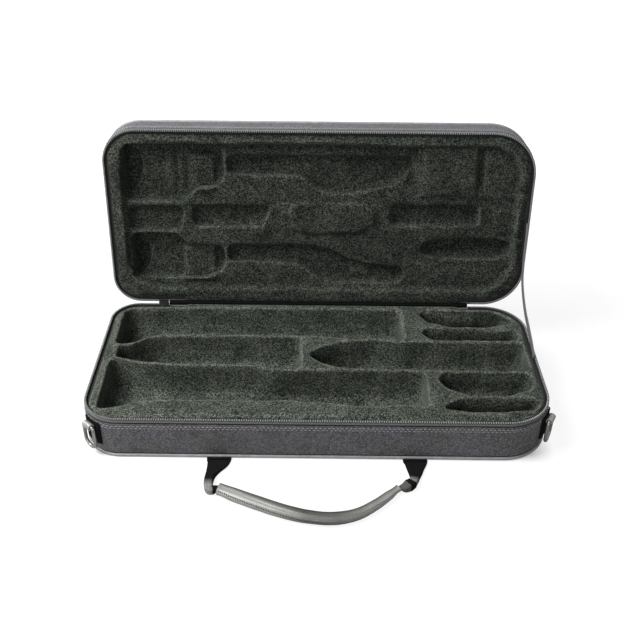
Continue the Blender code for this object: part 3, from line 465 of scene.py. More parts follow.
def plush_finish(name, depth, sparkle, hollow_shade, ridge_light, floor_light):
    """Short dark pile: grey-green tips over a dark ground; painted highlight on crests, painted shade in
    hollows and along the rim's outer edge, and painted light and shade by depth under the rim.
    """
    finish = Finish(name, 0.95, specular=0.12)
    where = finish.place()
    tips = finish.noise(where, 1400.0, 2.0, 0.7)
    fibres = finish.node("ShaderNodeTexVoronoi", Vector=where, Scale=1080.0, Randomness=1.0)
    nap = finish.noise(where, 24.0, 4.0, 0.62, 0.8)
    clumps = finish.noise(where, 130.0, 2.0, 0.6, 0.4)
    crest = finish.attribute("crest")
    spark = finish.split(fibres.outputs["Color"])[0]
    speckle = finish.weighed((tips, 0.52), (spark, 0.64), (clumps, 0.12))
    tones = []
    for stops in PILE_TONES:
        shaded = [(position, tuple(part * share for part in tone))
                  for (position, tone), share in zip(stops, (depth, depth, sparkle))]
        tones.append(finish.ramp(speckle, *shaded))
    pressed = finish.past(finish.noise(where, 30.0, 2.0, 0.5, 0.5), PRESSED_FROM)
    # Painted light and shade: crests lighter, hollows darker, the rim's outer edge darker, and shaded by
    # depth under the rim as floor_light sets; nap and pressed patches are the pile's own uneven tone.
    leaning = finish.weighed((finish.math("MINIMUM", crest, 0.0), hollow_shade),
                             (finish.past(crest, CREST_FROM), ridge_light), (nap, NAP_WEIGHT),
                             (finish.attribute("under_rim"), floor_light),
                             (finish.attribute("rim_edge"), RIM_SHADE), (pressed, PRESSED_SHADE),
                             start=LEAN_START)
    finish.sheen(0.10, 0.35, (0.80, 0.88, 0.78))
    away, towards = PILE_LEAN
    lit = finish.ramp(leaning, (away, 0.0), (towards, 1.0))
    return finish.done(finish.mix(lit, *tones), speckle, 0.6, 0.0008)


def weave_height(finish, pattern, pitch):
    """Threads over and under each other: two sets of ridges, one shown in each square."""
    along, across = finish.split(pattern)
    turn = 2 * math.pi / pitch
    warp = finish.math("SINE", finish.math("MULTIPLY", along, turn))
    weft = finish.math("SINE", finish.math("MULTIPLY", across, turn))
    over = finish.math("GREATER_THAN", finish.math("MULTIPLY", warp, weft), 0.0)
    first = finish.math("MULTIPLY", finish.ribs(along, pitch / 3), over)
    second = finish.math("MULTIPLY", finish.ribs(across, pitch / 3), finish.math("SUBTRACT", 1.0, over))
    return finish.math("ADD", first, second)


# Warm and cool yarn of the nylon
NYLON_TONES = (
    ((0.25, 0.017), (0.55, (0.062, 0.062, 0.061)), (0.82, (0.169, 0.169, 0.165))),
    ((0.25, (0.024, 0.023, 0.029)), (0.55, (0.077, 0.075, 0.087)), (0.82, (0.203, 0.200, 0.219))),
)
NYLON_RIBS = 0.0031


def nylon_finish():
    """Charcoal melange nylon: slanting yarns, each a little lighter or darker, with a slight sheen."""
    finish = Finish("nylon", 0.60, specular=0.20)
    pattern = finish.place("UV")
    along, across = finish.split(pattern)
    slant = finish.math("ADD", along, across)
    other = finish.math("SUBTRACT", along, across)
    drawn = finish.join(finish.math("MULTIPLY", slant, 0.62), finish.math("MULTIPLY", other, 1.1))
    yarns = finish.node("ShaderNodeTexVoronoi", Vector=drawn, Scale=880.0, Randomness=0.75)
    shade = finish.split(yarns.outputs["Color"])[0]
    threads = finish.noise(pattern, 1200.0, 3.0, 0.75)
    patches = finish.noise(pattern, 22.0, 4.0, 0.65)
    tone = finish.weighed((threads, 0.40), (shade, 0.46), (finish.ribs(other, NYLON_RIBS), 0.20))
    warm, cool = [finish.ramp(tone, *stops) for stops in NYLON_TONES]
    finish.sheen(0.05, 0.4, (0.90, 0.90, 0.96))
    return finish.done(finish.mix(finish.ramp(patches, (0.38, 0.0), (0.62, 1.0)), warm, cool),
                       tone, 0.5, 0.0004)


def dark_nylon_finish():
    """The hinge strip's dull black weave."""
    finish = Finish("nylon_dark", 0.85, specular=0.05)
    pattern = finish.place("UV")
    threads = finish.noise(pattern, 1500.0, 3.0, 0.75)
    tone = finish.weighed((threads, 0.6), (weave_height(finish, pattern, 0.0020), 0.3))
    colour = finish.ramp(tone, (0.3, (0.0008, 0.0008, 0.0009)), (0.9, (0.0090, 0.0088, 0.0095)))
    return finish.done(colour, tone, 0.5, 0.0003)


def welt_finish():
    """Satin grey cover of the welt, a little scuffed."""
    finish = Finish("welt", 0.38)
    where = finish.place()
    scuffs = finish.noise(where, 140.0, 5.0, 0.7)
    colour = finish.ramp(scuffs, (0.30, (0.17, 0.17, 0.18)), (0.60, (0.25, 0.25, 0.26)), (0.80, 0.34))
    return finish.done(colour, finish.noise(where, 900.0, 3.0), 0.15, 0.0003)


def teeth_finish():
    """Grey coil teeth, worn a little unevenly."""
    finish = Finish("teeth", 0.36)
    wear = finish.noise(finish.place(), 500.0, 3.0, 0.6)
    colour = finish.ramp(wear, (0.30, (0.14, 0.145, 0.145)), (0.70, (0.29, 0.295, 0.295)))
    return finish.done(colour, wear, 0.1, 0.0002)


def tape_finish(name, dark, light):
    """Ribbed zip tape."""
    finish = Finish(name, 0.8)
    pattern = finish.place("UV")
    ribs = finish.ribs(finish.split(pattern)[0], 0.0008)
    tone = finish.weighed((finish.noise(pattern, 1800.0, 3.0, 0.7), 0.5), (ribs, 0.5))
    return finish.done(finish.ramp(tone, (0.2, dark), (0.8, light)), tone, 0.4, 0.0002)


def webbing_finish(name, yarn, pitch=0.0016, worn_yarn=None, fade=(0.0, 1.0)):
    """Woven strap in slanting ribs, with fuzz; it may fade to a worn yarn along its length."""
    finish = Finish(name, 0.85, specular=0.03)
    pattern = finish.place("UV")
    along, across = finish.split(pattern)
    slant = finish.math("ADD", along, finish.math("PINGPONG", across, 0.0030))
    fuzz = finish.noise(pattern, 2000.0, 3.0, 0.8)
    tone = finish.weighed((fuzz, 0.5), (finish.ribs(slant, pitch), 0.55))
    colour = finish.ramp(tone, *zip((0.25, 0.85), yarn))
    if worn_yarn:
        start, end = fade
        worn = finish.math("DIVIDE", finish.math("SUBTRACT", along, start), end - start)
        worn = finish.ramp(finish.weighed((worn, 1.0), (fuzz, 1.2), start=-0.6), (0.0, 0.0), (1.0, 1.0))
        colour = finish.mix(worn, colour, finish.ramp(tone, *zip((0.25, 0.85), worn_yarn)))
    return finish.done(colour, tone, 0.6, 0.0004)


GRIP_GIRTH = 0.0400
GRIP_LEFT = -0.104
GRIP_LONG = 0.190
# Painted shade and highlight round the sleeve, from its outer edge over the top, as shares of its tone; then
# its tone along it, darker towards the middle
SLEEVE_PAINTED_SHADE = ((0.0, 1.0), (0.08, 0.86), (0.16, 0.95), (0.23, 0.85), (0.29, 0.47), (0.34, 0.34), (0.80, 0.60),
          (0.90, 1.0))
SLEEVE_ALONG_TONE = ((0.0, 1.0), (0.30, 0.80), (0.48, (0.38, 0.39, 0.38)), (0.66, (0.42, 0.43, 0.42)),
           (0.84, 0.90), (1.0, 1.0))


def leather_finish():
    """Grey synthetic leather with a fine pebbled grain, with painted highlight and shade round it, darker on
    its inner side, and darker towards the middle of its length.
    """
    finish = Finish("sleeve", 0.38)
    where = finish.place()
    wrapped = finish.math("WRAP", finish.split(finish.place("UV"))[1], GRIP_GIRTH, 0.0)
    around = finish.math("DIVIDE", wrapped, GRIP_GIRTH)
    along = finish.math("DIVIDE", finish.math("SUBTRACT", finish.split(where)[0], GRIP_LEFT), GRIP_LONG)
    pebbles = finish.node("ShaderNodeTexVoronoi", {"feature": "SMOOTH_F1"}, Vector=where, Scale=900.0,
                          Smoothness=0.6)
    grain = finish.math("SUBTRACT", 1.0, pebbles.outputs["Distance"])
    tone = finish.weighed((finish.noise(where, 60.0, 4.0, 0.6), 0.30), (grain, 0.25))
    colour = finish.ramp(tone, (0.15, (0.185, 0.183, 0.170)), (0.32, (0.265, 0.262, 0.247)),
                         (0.50, (0.325, 0.321, 0.304)))
    # Painted shade and highlight round the sleeve, then darker towards the middle of its length.
    for share, tones in ((around, SLEEVE_PAINTED_SHADE), (along, SLEEVE_ALONG_TONE)):
        colour = finish.mix(1.0, colour, finish.ramp(share, *tones), "MULTIPLY")
    return finish.done(colour, grain, 0.22, 0.0003)


def nickel_finish(name, dark, light, metallic):
    """Satin nickel with fine streaks."""
    finish = Finish(name, 0.32, metallic)
    drawn = finish.node("ShaderNodeMapping", Vector=finish.place(), Scale=(700.0, 700.0, 90.0)).outputs[0]
    lines = finish.noise(drawn, 1.0, 3.0, 0.65)
    finish.feed(finish.shader, "Roughness", finish.weighed((lines, 0.25), start=0.22))
    return finish.done(finish.ramp(lines, (0.35, dark), (0.65, light)), lines, 0.15, 0.0001)


def thread_finish(name, colour):
    """Twisted sewing thread."""
    finish = Finish(name, 0.6)
    twist = finish.noise(finish.place(), 2400.0, 2.0)
    darker = tuple(part * 0.6 for part in colour)
    return finish.done(finish.ramp(twist, (0.3, darker), (0.7, colour)), twist, 0.3, 0.0002)


def board_finish():
    """Dark pressed fibre board."""
    finish = Finish("board", 0.9)
    fibres = finish.noise(finish.place(), 300.0, 4.0, 0.7)
    colour = finish.ramp(fibres, (0.3, 0.012), (0.7, (0.035, 0.034, 0.033)))
    return finish.done(colour, fibres, 0.3, 0.0004)


PLUSH = plush_finish("plush", 0.90, 1.06, 0.30, 1.5, 0.12)
# The lid's plush is the same pile as the base's with painted shade: darker tones, darker hollows and floors
# darker by depth.
LID_PLUSH_SHADED = plush_finish("plush_lid_shaded", 0.45, 0.74, 0.60, 0.8, -0.12)
NYLON = nylon_finish()
DARK_NYLON = dark_nylon_finish()
WELT = welt_finish()
TEETH = teeth_finish()
STRIP = tape_finish("tape", (0.070, 0.070, 0.073), (0.140, 0.140, 0.144))
# Black for painted shade in the groove under the zip, in the joint over the welt and in the gap along the
# plush's edge; the zip's core is black too.
SHADOW = tape_finish("black_tape_and_painted_shade", 0.0010, (0.0090, 0.0090, 0.0095))
BLACK_YARN = (0.0002, (0.0120, 0.0120, 0.0115))
GREY_YARN = ((0.045, 0.045, 0.043), (0.300, 0.296, 0.287))
BINDING_YARN = (0.006, (0.120, 0.119, 0.115))
WEBBING = webbing_finish("webbing", BLACK_YARN)
LEFT_WEBBING = webbing_finish("webbing_worn", BLACK_YARN, 0.0016, GREY_YARN, (0.0360, 0.0450))
RIGHT_WEBBING = webbing_finish("webbing_bend", BLACK_YARN, 0.0016, GREY_YARN, (0.0090, 0.0010))
BINDING = webbing_finish("webbing_grey", BINDING_YARN, 0.0017)
SLEEVE = leather_finish()
NICKEL = nickel_finish("nickel", (0.13, 0.127, 0.120), (0.34, 0.333, 0.314), 0.80)
GUNMETAL = nickel_finish("gunmetal", (0.030, 0.030, 0.032), (0.085, 0.085, 0.088), 0.60)
CLIP = nickel_finish("clip", 0.18, (0.34, 0.337, 0.325), 0.50)
THREAD = thread_finish("thread_light", (0.26, 0.26, 0.28))
GRIP_THREAD = thread_finish("thread_dark", (0.022, 0.022, 0.021))
RIBBON = tape_finish("ribbon", (0.050, 0.049, 0.058), (0.140, 0.137, 0.152))
BOARD = board_finish()


# Plush inserts

PLUSH_VOXEL = 0.0022
LINING_VOXEL = 0.0045
LINING_PRESSURE = 4.0
LINING_FRAMES = 20
PLUSH_SOFTENING = 1
PLUSH_DRAWN_IN = 0.0006
PLUSH_SWELL = 0.0010
SHUT_CLEARANCE = 0.0002
GLUED_EDGE = 0.0060
CREST_ROUNDS = 14
CREST_FULL = 0.0016
# Sections by inset and drop below the plane where the halves meet
LIP_SECTION = ((0.0050, 0.0066), (0.0050, 0.0040), (0.0058, 0.0024), (0.0072, 0.0014), (0.0088, 0.0010),
               (0.0108, 0.0013), (0.0108, 0.0066))
WALL_SECTION = ((0.0052, 0.0300), (0.0052, 0.0030), (0.0080, 0.0030), (0.0080, 0.0300))
HINGE_LIP_SECTION = ((0.0010, 0.0060), (0.0010, 0.0016), (0.0016, 0.0007), (0.0032, 0.0005), (0.0100, 0.0008),
                     (0.0100, 0.0060))
HINGE_LIP_STATIONS = (-0.168, -0.160, 0.0, 0.165, 0.180)
PILE_AMOUNT = 0.00012
PILE_SIZE = 0.0030
NAP_AMOUNT = 0.0006
NAP_SIZE = 0.017
# The nap is loose from one inset to a depth further in, and this much of it is left on the glued edge
LOOSE_FROM = 0.004
LOOSE_OVER = 0.006
GLUED_NAP = 0.25
WELL_DEEP = 0.034
# Insets between which the shade along the rim's outer edge fades out
EDGE_SHADE = (0.0058, 0.0078)
# Pads and hollows pressed in the lid's foam: middle along the lid and up from the hinge, half sizes,
# rise (a hollow's is below 0) and width of the soft edge
LID_FORMS = (
    (-0.1425, 0.170, 0.0150, 0.0210, 0.0045, 0.006), (-0.1500, 0.052, 0.0200, 0.0210, 0.0045, 0.006),
    (-0.1810, 0.170, 0.0040, 0.0280, 0.0020, 0.005), (-0.1680, 0.168, 0.0030, 0.0280, 0.0016, 0.004),
    (0.1560, 0.175, 0.0330, 0.0300, 0.0030, 0.009), (0.1110, 0.180, 0.0050, 0.0240, -0.0032, 0.008),
    (0.1945, 0.180, 0.0040, 0.0260, -0.0034, 0.006), (0.2180, 0.116, 0.0360, 0.0260, -0.0016, 0.002),
    (0.2320, 0.112, 0.0150, 0.0150, 0.0024, 0.006), (0.1720, 0.117, 0.0035, 0.0130, 0.0016, 0.004),
    (0.1980, 0.117, 0.0035, 0.0130, 0.0018, 0.004), (-0.0360, 0.125, 0.0100, 0.0100, 0.0020, 0.008),
    (-0.0750, 0.108, 0.0100, 0.0180, 0.0020, 0.008), (0.0520, 0.045, 0.0140, 0.0110, 0.0022, 0.006),
)
PRESS_FACING = 0.3
PRESS_SLOPE = 1.4
WANDER_AMOUNT = 0.0016
WANDER_SIZE = 0.034
WANDER_SEED = 1
WANDER_LENGTHWAYS = 0.6
WANDER_FROM = 0.010
WANDER_OVER = 0.010


def inset_at(x, y):
    """How far inside the case's outer skin a plan point is."""
    for (radius, centre), (side_x, side_y) in zip(CORNERS, CORNER_SIDES):
        if (x - centre.x) * side_x >= 0 and (y - centre.y) * side_y >= 0:
            return radius - (Vector((x, y)) - centre).length
    return min(HALF_LENGTH - abs(x), HALF_DEPTH - abs(y))


def held_mesh(bm, name):
    """Put a bmesh on a working object, to run a modifier on it."""
    mesh = bpy.data.meshes.new(name)
    bm.to_mesh(mesh)
    bm.free()
    holder = bpy.data.objects.new(name, mesh)
    bpy.context.scene.collection.objects.link(holder)
    return holder


def after_modifiers(holder):
    """The working object's mesh as its modifiers leave it; the object goes."""
    bm = bmesh.new()
    bm.from_object(holder, bpy.context.evaluated_depsgraph_get())
    bpy.data.objects.remove(holder)
    return bm


def mesh_copy(holder):
    """A new bmesh of a working object's mesh."""
    bm = bmesh.new()
    bm.from_mesh(holder.data)
    return bm


def remeshed(bm, voxel):
    """The same form as one even skin of small squares."""
    holder = held_mesh(bm, "form")
    remesh = holder.modifiers.new("foam", "REMESH")
    remesh.mode = "VOXEL"
    remesh.voxel_size = voxel
    return after_modifiers(holder)


def filled_out(bm, glued, pressure):
    """Let a coarse lining swell like a filled cushion, its glued points held: where from, how far."""
    before = [vert.co.copy() for vert in bm.verts]
    held = [vert.index for vert in bm.verts if glued(vert)]
    holder = held_mesh(bm, "lining")
    group = holder.vertex_groups.new(name="glued")
    group.add(held, 1.0, "REPLACE")
    cloth = holder.modifiers.new("filling", "CLOTH")
    cloth.settings.quality = 4
    cloth.settings.mass = 0.2
    cloth.settings.tension_stiffness = 12.0
    cloth.settings.compression_stiffness = 8.0
    cloth.settings.shear_stiffness = 4.0
    cloth.settings.bending_stiffness = 0.3
    cloth.settings.use_pressure = True
    cloth.settings.uniform_pressure_force = pressure
    cloth.settings.vertex_group_mass = "glued"
    cloth.settings.effector_weights.gravity = 0.0
    cloth.collision_settings.use_collision = False
    for frame_number in range(1, LINING_FRAMES + 1):
        bpy.context.scene.frame_set(frame_number)
    bm = after_modifiers(holder)
    bpy.context.scene.frame_set(1)
    moves = [vert.co - start for vert, start in zip(bm.verts, before)]
    bm.free()
    return before, moves


def swell_with(bm, before, moves, most):
    """Move a fine skin as the nearest points of the swollen lining moved, no point further than the cap."""
    tree = KDTree(len(before))
    for index, point in enumerate(before):
        tree.insert(point, index)
    tree.balance()
    for vert in bm.verts:
        move = Vector()
        share = 0.0
        for _, index, distance in tree.find_n(vert.co, 4):
            near = 1.0 / (distance + 0.0005)
            move += moves[index] * near
            share += near
        move /= share
        if move.length > most:
            move *= most / move.length
        vert.co += move


def wander(bm, seed):
    """Let the wells' edges run a little crooked, as plush over cut foam does."""
    noise.seed_set(WANDER_SEED)
    for vert in bm.verts:
        inside = limited((inset_at(vert.co.x, vert.co.y) - WANDER_FROM) / WANDER_OVER)
        if inside:
            where = Vector((vert.co.x, vert.co.y, 0.0)) / WANDER_SIZE + Vector((seed, 0.0, 0.0))
            drift = noise.noise_vector(where)
            vert.co += Vector((drift.x * WANDER_LENGTHWAYS, drift.y, 0.0)) * WANDER_AMOUNT * inside


def soften(bm, rounds):
    """Even a skin out, as cloth laid over it would."""
    for _ in range(rounds):
        bmesh.ops.smooth_vert(bm, verts=bm.verts[:], factor=0.5, use_axis_x=True, use_axis_y=True,
                              use_axis_z=True)
    bm.normal_update()


def mark_crests(bm):
    """Note on each point how far it stands out of the pile around it, from hollow to crest; the plush's
    painted highlight on crests and painted shade in hollows follow it.
    """
    layer = bm.verts.layers.float.new("crest")
    flat = bm.copy()
    soften(flat, CREST_ROUNDS)
    for vert, spot in zip(bm.verts, flat.verts):
        vert[layer] = limited((vert.co - spot.co).dot(vert.normal) / CREST_FULL, -1.0)
    flat.free()


def mark_depth(bm, side):
    """Note on each point how deep under the rim it lies, and how near the rim's outer edge, from 0 to 1; the
    plush's finish paints light and shade by these.
    """
    under_rim = bm.verts.layers.float.new("under_rim")
    rim_edge = bm.verts.layers.float.new("rim_edge")
    full, none = EDGE_SHADE
    for vert in bm.verts:
        deep = HINGE.z - vert.co.z if side == "base" else vert.co.z - HINGE.z
        vert[under_rim] = limited(deep / WELL_DEEP)
        vert[rim_edge] = limited((none - inset_at(vert.co.x, vert.co.y)) / (none - full))


def press_forms(bm):
    """Shallow pads and hollows in the lid's foam: soft boxes that rise or sink."""
    for vert in bm.verts:
        facing = -vert.normal.z
        if facing < PRESS_FACING:
            continue
        out = HINGE.y - vert.co.y
        for x, up, half_x, half_up, rise, edge in LID_FORMS:
            share = min(half_x - abs(vert.co.x - x), half_up - abs(out - up)) / edge + 0.5
            if share > 0:
                share = min(1.0, share)
                vert.co.z -= rise * share * share * (3 - 2 * share) * min(1.0, facing * PRESS_SLOPE)


def rough_up(bm, amount, size, seed):
    """Uneven nap, calmer on the glued edge."""
    for vert in bm.verts:
        loose = limited((inset_at(vert.co.x, vert.co.y) - LOOSE_FROM) / LOOSE_OVER, GLUED_NAP)
        vert.co += vert.normal * noise.noise(vert.co / size + Vector((seed, 0.0, 0.0))) * amount * loose


def keep_shut_clear(bm, side):
    """Nothing of the pile reaches past the plane where the two halves meet when shut."""
    for vert in bm.verts:
        if side == "base":
            vert.co.z = min(vert.co.z, HINGE.z - SHUT_CLEARANCE)
        else:
            vert.co.z = max(vert.co.z, HINGE.z + SHUT_CLEARANCE)


def hinge_lip(side, height):
    """Roll of plush that reaches nearly to the hinge fabric."""
    section = below_zip(HINGE_LIP_SECTION, side, height)
    return sweep([[(x, HALF_DEPTH - inset, rise) for inset, rise in section] for x in HINGE_LIP_STATIONS])


def add_to(bm, part, name):
    """Put a second bmesh into the first."""
    holder = held_mesh(part, name)
    bm.from_mesh(holder.data)
    bpy.data.objects.remove(holder)


def plush_insert(side, height, seed):
    """Foam insert under glued plush: swollen a little, soft at the wells' edges, its pile uneven."""
    node = side + "_insert"
    bm = bmesh.new()
    bm.from_mesh(frame["nodes"][node].data)
    if side == "lid":
        bmesh.ops.transform(bm, matrix=OPEN_LID.inverted(), verts=bm.verts[:])
    bmesh.ops.remove_doubles(bm, verts=bm.verts[:], dist=1e-6)
    add_to(bm, sweep_round(below_zip(LIP_SECTION, side, height)), "lip")
    add_to(bm, hinge_lip(side, height), "hinge_lip")
    if side == "base":
        add_to(bm, sweep_round(below_zip(WALL_SECTION, side, height)), "wall")
    form = held_mesh(bm, "form_kept")
    bm = remeshed(mesh_copy(form), PLUSH_VOXEL)
    soften(bm, PLUSH_SOFTENING)
    for vert in bm.verts:
        if inset_at(vert.co.x, vert.co.y) > GLUED_EDGE:
            vert.co -= vert.normal * PLUSH_DRAWN_IN
    lining = remeshed(mesh_copy(form), LINING_VOXEL)
    before, moves = filled_out(lining, lambda vert: inset_at(vert.co.x, vert.co.y) < GLUED_EDGE,
                               LINING_PRESSURE)
    swell_with(bm, before, moves, PLUSH_SWELL)
    bpy.data.objects.remove(form)
    bm.normal_update()
    if side == "lid":
        press_forms(bm)
    wander(bm, seed)
    bm.normal_update()
    mark_crests(bm)
    mark_depth(bm, side)
    rough_up(bm, NAP_AMOUNT, NAP_SIZE, seed)
    rough_up(bm, PILE_AMOUNT, PILE_SIZE, seed)
    keep_shut_clear(bm, side)
    material = LID_PLUSH_SHADED if side == "lid" else PLUSH
    piece = finish_piece(side + "_plush", bm, material, side, (node,), sharp=180)
    return piece


# Skins, welt and zip of one half

BAND_PROFILE_SHARES = (
    (1.00, -0.004), (0.42, 0.018), (0.10, 0.080), (0.00, 0.220), (0.00, 0.500), (0.00, 0.780),
    (0.10, 0.920), (0.42, 0.982), (1.00, 1.004), (1.60, 0.970), (1.60, 0.500), (1.60, 0.030),
)
BAND_DEEP = 0.0008
BAND_DENTS = 0.0005
BAND_DENT_SIZE = 0.045
WELT_SIDES = 14
STITCH_PITCH = 0.0047
STITCH_SIZE = (0.0027, 0.0010, 0.0010)
STITCH_DROPS = (0.0104, 0.0132)
STITCH_SUNK = 0.0002
STITCH_LEAN = 0.05
TEETH_PITCH = 0.00256
# Parts of a tooth: size, rounded edge, inset, drop below the zip's plane, shift along in teeth
TOOTH_PARTS = (
    ((0.00125, 0.0026, 0.0018), 0.0004, 0.0019, 0.0014, 0.0),
    ((0.00105, 0.0010, 0.0011), 0.0003, 0.0011, 0.0031, 0.5),
)
CHAIN_STEP = 0.004
# Sections by inset and drop below the zip's plane; the seam's are rises from the outer face
CORE_SECTION = ((0.0010, 0.0038), (0.0010, 0.0012), (0.0030, 0.0012), (0.0030, 0.0038))
TAPE_SECTION = ((0.0008, 0.0054), (0.0005, 0.0050), (0.0004, 0.0044), (0.0005, 0.0038), (0.0009, 0.0036),
                (0.0019, 0.0038), (0.0019, 0.0054))
# The groove and the seam are black rings of painted shade, the seam's in the joint over the welt; the inner
# tape is partly tape, partly painted shade for the gap along the plush's edge.
GROOVE_SECTION = ((0.0013, 0.0074), (0.0013, 0.0052), (0.0020, 0.0052), (0.0020, 0.0074))
INNER_TAPE_SECTION = ((0.0046, 0.0038), (0.0046, 0.0044), (0.0066, 0.0048), (0.0066, 0.0042))
SEAM_SECTION = ((0.0011, 0.0038), (0.0011, 0.0068), (0.0014, 0.0068), (0.0014, 0.0038))
PANEL_INSET = 0.0035
PANEL_FACES = (0.0002, 0.0012)
# Steps in over the lid's panel: how wide, and how far it rises
PANEL_RISES = ((0.0005, 0.0), (0.003, 0.0004), (0.010, 0.0008), (0.013, 0.0012))


def side_band(side, height):
    """Woven nylon skin round a half."""
    low, high = SEAM_RISE, height - RIM_DROP
    profile = [(BAND_DEEP * deep, low + (high - low) * up) for deep, up in BAND_PROFILE_SHARES]
    bm = sweep_round(half_heights(profile, side, height))
    lay_cloth_round(bm)
    bm.normal_update()
    unevenness(bm, BAND_DENTS, BAND_DENT_SIZE, 3.0)
    return finish_piece(side + "_nylon_band", bm, NYLON, side, (side + "_side_band",))


def welt_cord(side, height):
    """Covered cord in a half's outer edge."""
    profile = []
    for index in range(WELT_SIDES):
        angle = 2 * math.pi * index / WELT_SIDES
        profile.append((PIPING_RADIUS - PIPING_PROUD - PIPING_RADIUS * math.cos(angle),
                        PIPING_RISE + PIPING_RADIUS * math.sin(angle)))
    bm = sweep_round(half_heights(profile, side, height))
    return finish_piece(side + "_welt", bm, WELT, side, (side + "_piping",))


def zip_tape(side, height):
    """Smooth strip beside the teeth; beside it black rings of painted shade in the groove and in the joint
    over the welt; and a black inner tape, partly tape and partly painted shade for the gap along the plush's
    edge.
    """
    bm = sweep_round(below_zip(TAPE_SECTION, side, height))
    lay_cloth_round(bm)
    finish_piece(side + "_tape", bm, STRIP, side, (side + "_zip_tape",))
    # Black rings of painted shade: groove, seam joint and the gap along the plush's edge.
    for name, section in (("_groove_shade", below_zip(GROOVE_SECTION, side, height)),
                          ("_seam", half_heights(SEAM_SECTION, side, height)),
                          ("_inner_tape_and_shade", below_zip(INNER_TAPE_SECTION, side, height))):
        finish_piece(side + name, sweep_round(section), SHADOW, side, ())


def chain_places(side, height, start, end, inset, drop, shift):
    """Places along the zip at the teeth's pitch."""
    rise = shut_height(height - drop, side, height)
    count = int((end - start) / TEETH_PITCH) - 1
    return [standing(start + TEETH_PITCH * (index + 0.75 + shift), inset, rise) for index in range(count)]


def zip_chain(side, height, left_end, right_end):
    """Coil teeth on a core cord, from the left end of the hinge fabric round to its right end."""
    start = distance_round(left_end, HALF_DEPTH)
    end = distance_round(right_end, HALF_DEPTH) + ROUND
    profile = below_zip(CORE_SECTION, side, height)
    sections = []
    steps = round((end - start) / CHAIN_STEP)
    for step in range(steps + 1):
        section = []
        for across, rise in profile:
            point = place_round(start + (end - start) * step / steps, across)[0]
            section.append((point.x, point.y, rise))
        sections.append(section)
    finish_piece(side + "_zip_core", sweep(sections), SHADOW, side, ())
    bm = bmesh.new()
    for size, bevel, inset, drop, shift in TOOTH_PARTS:
        copies(bm, small_shape(size, bevel), chain_places(side, height, start, end, inset, drop, shift))
    return finish_piece(side + "_teeth", bm, TEETH, side, (side + "_zip_chain",))


def stitch_rows(side, height):
    """Two rows of light stitches round the band under the zip."""
    bm = bmesh.new()
    stitch = small_shape(STITCH_SIZE, 0.0003)
    count = int(ROUND / STITCH_PITCH)
    for row, drop in enumerate(STITCH_DROPS):
        rise = shut_height(height - drop, side, height)
        copies(bm, stitch, [standing(ROUND * (index + row / 2) / count, STITCH_SUNK, rise, STITCH_LEAN)
                            for index in range(count)])
    return finish_piece(side + "_stitches", bm, THREAD, side, ())


def outer_panel(side, height, node):
    """The flat skin inside the welt. The lid's is a little crowned; the base's lies on the floor."""
    low, high = PANEL_FACES
    bm = sweep_round([(PANEL_INSET, high), (PANEL_INSET, low)], closed=False)
    for level in PANEL_FACES:
        rim = [edge for edge in bm.edges
               if edge.is_boundary and all(abs(vert.co.z - level) < 1e-5 for vert in edge.verts)]
        bmesh.ops.edgeloop_fill(bm, edges=rim)
    bmesh.ops.recalc_face_normals(bm, faces=bm.faces[:])
    face = min(bm.faces, key=lambda each: each.calc_center_median().z)
    for wide, deep in PANEL_RISES:
        bmesh.ops.inset_region(bm, faces=[face], thickness=wide, depth=0.0, use_even_offset=True)
        if side == "lid":
            bmesh.ops.translate(bm, vec=(0.0, 0.0, -deep / 2), verts=face.verts[:])
    lay_cloth(bm, lambda point: (point.x, point.y))
    if side == "lid":
        for vert in bm.verts:
            vert.co.z = shut_height(vert.co.z, side, height)
        bmesh.ops.reverse_faces(bm, faces=bm.faces[:])
    return finish_piece(side + "_panel_skin", bm, NYLON, side, (node,))


# Hinge fabric and stay ribbon

SLIDER_LOW, SLIDER_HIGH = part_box("zip_slider")
END_GAP = 0.0003
WEB_LEFT, WEB_RIGHT = SLIDER_HIGH.x + 0.0004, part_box("base_hinge_web")[1].x
WEB_ROUTE = ((-0.0005, -0.0042), (-0.0004, -0.0026), (-0.0003, -0.0012), (-0.0001, -0.0004),
             (0.0004, 0.0003), (0.0014, 0.0006), (0.0028, 0.0008), (0.0042, 0.0010))
WEB_THICK = 0.0007
WEB_COLUMNS = 46


def flat_strip(route, across, wide, thick, columns):
    """A strap along a route in the plane square to its width, with a rounded edge."""
    sections = []
    for index, point in enumerate(route):
        normal = across.cross(ahead_at(route, index).normalized()).normalized()
        upper = []
        lower = []
        for column in range(columns + 1):
            share = column / columns - 0.5
            edge = 1.0 - (abs(share) * 2) ** 8 * 0.6
            upper.append(point + across * wide * share + normal * thick / 2 * edge)
            lower.append(point + across * wide * share - normal * thick / 2 * edge)
        sections.append(upper + lower[::-1])
    return sections


def hinge_fabric(name, material, outward, thick, stands_for):
    """One layer of the fabric hinge along the back."""
    middle = (WEB_LEFT + WEB_RIGHT) / 2
    route = smooth_route([(middle, HINGE.y + y + outward, HINGE.z + z - outward) for y, z in WEB_ROUTE], 3)
    bm = sweep(flat_strip(route, Vector((1, 0, 0)), WEB_RIGHT - WEB_LEFT, thick, WEB_COLUMNS))
    lay_cloth(bm, lambda point: (point.x, point.z + point.y))
    piece = finish_piece(name, bm, material, None, stands_for)
    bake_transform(piece)
    return piece


RIBBON_ROUTE = ((0.1290, 0.1658), (0.1237, 0.1524), (0.1205, 0.1334), (0.1157, 0.1132), (0.1045, 0.0920),
                (0.0750, 0.0740), (0.0440, 0.0660), (0.0216, 0.0600), (0.0055, 0.0541))
RIBBON_THICK = 0.0007
RIBBON_WIDE = 0.010
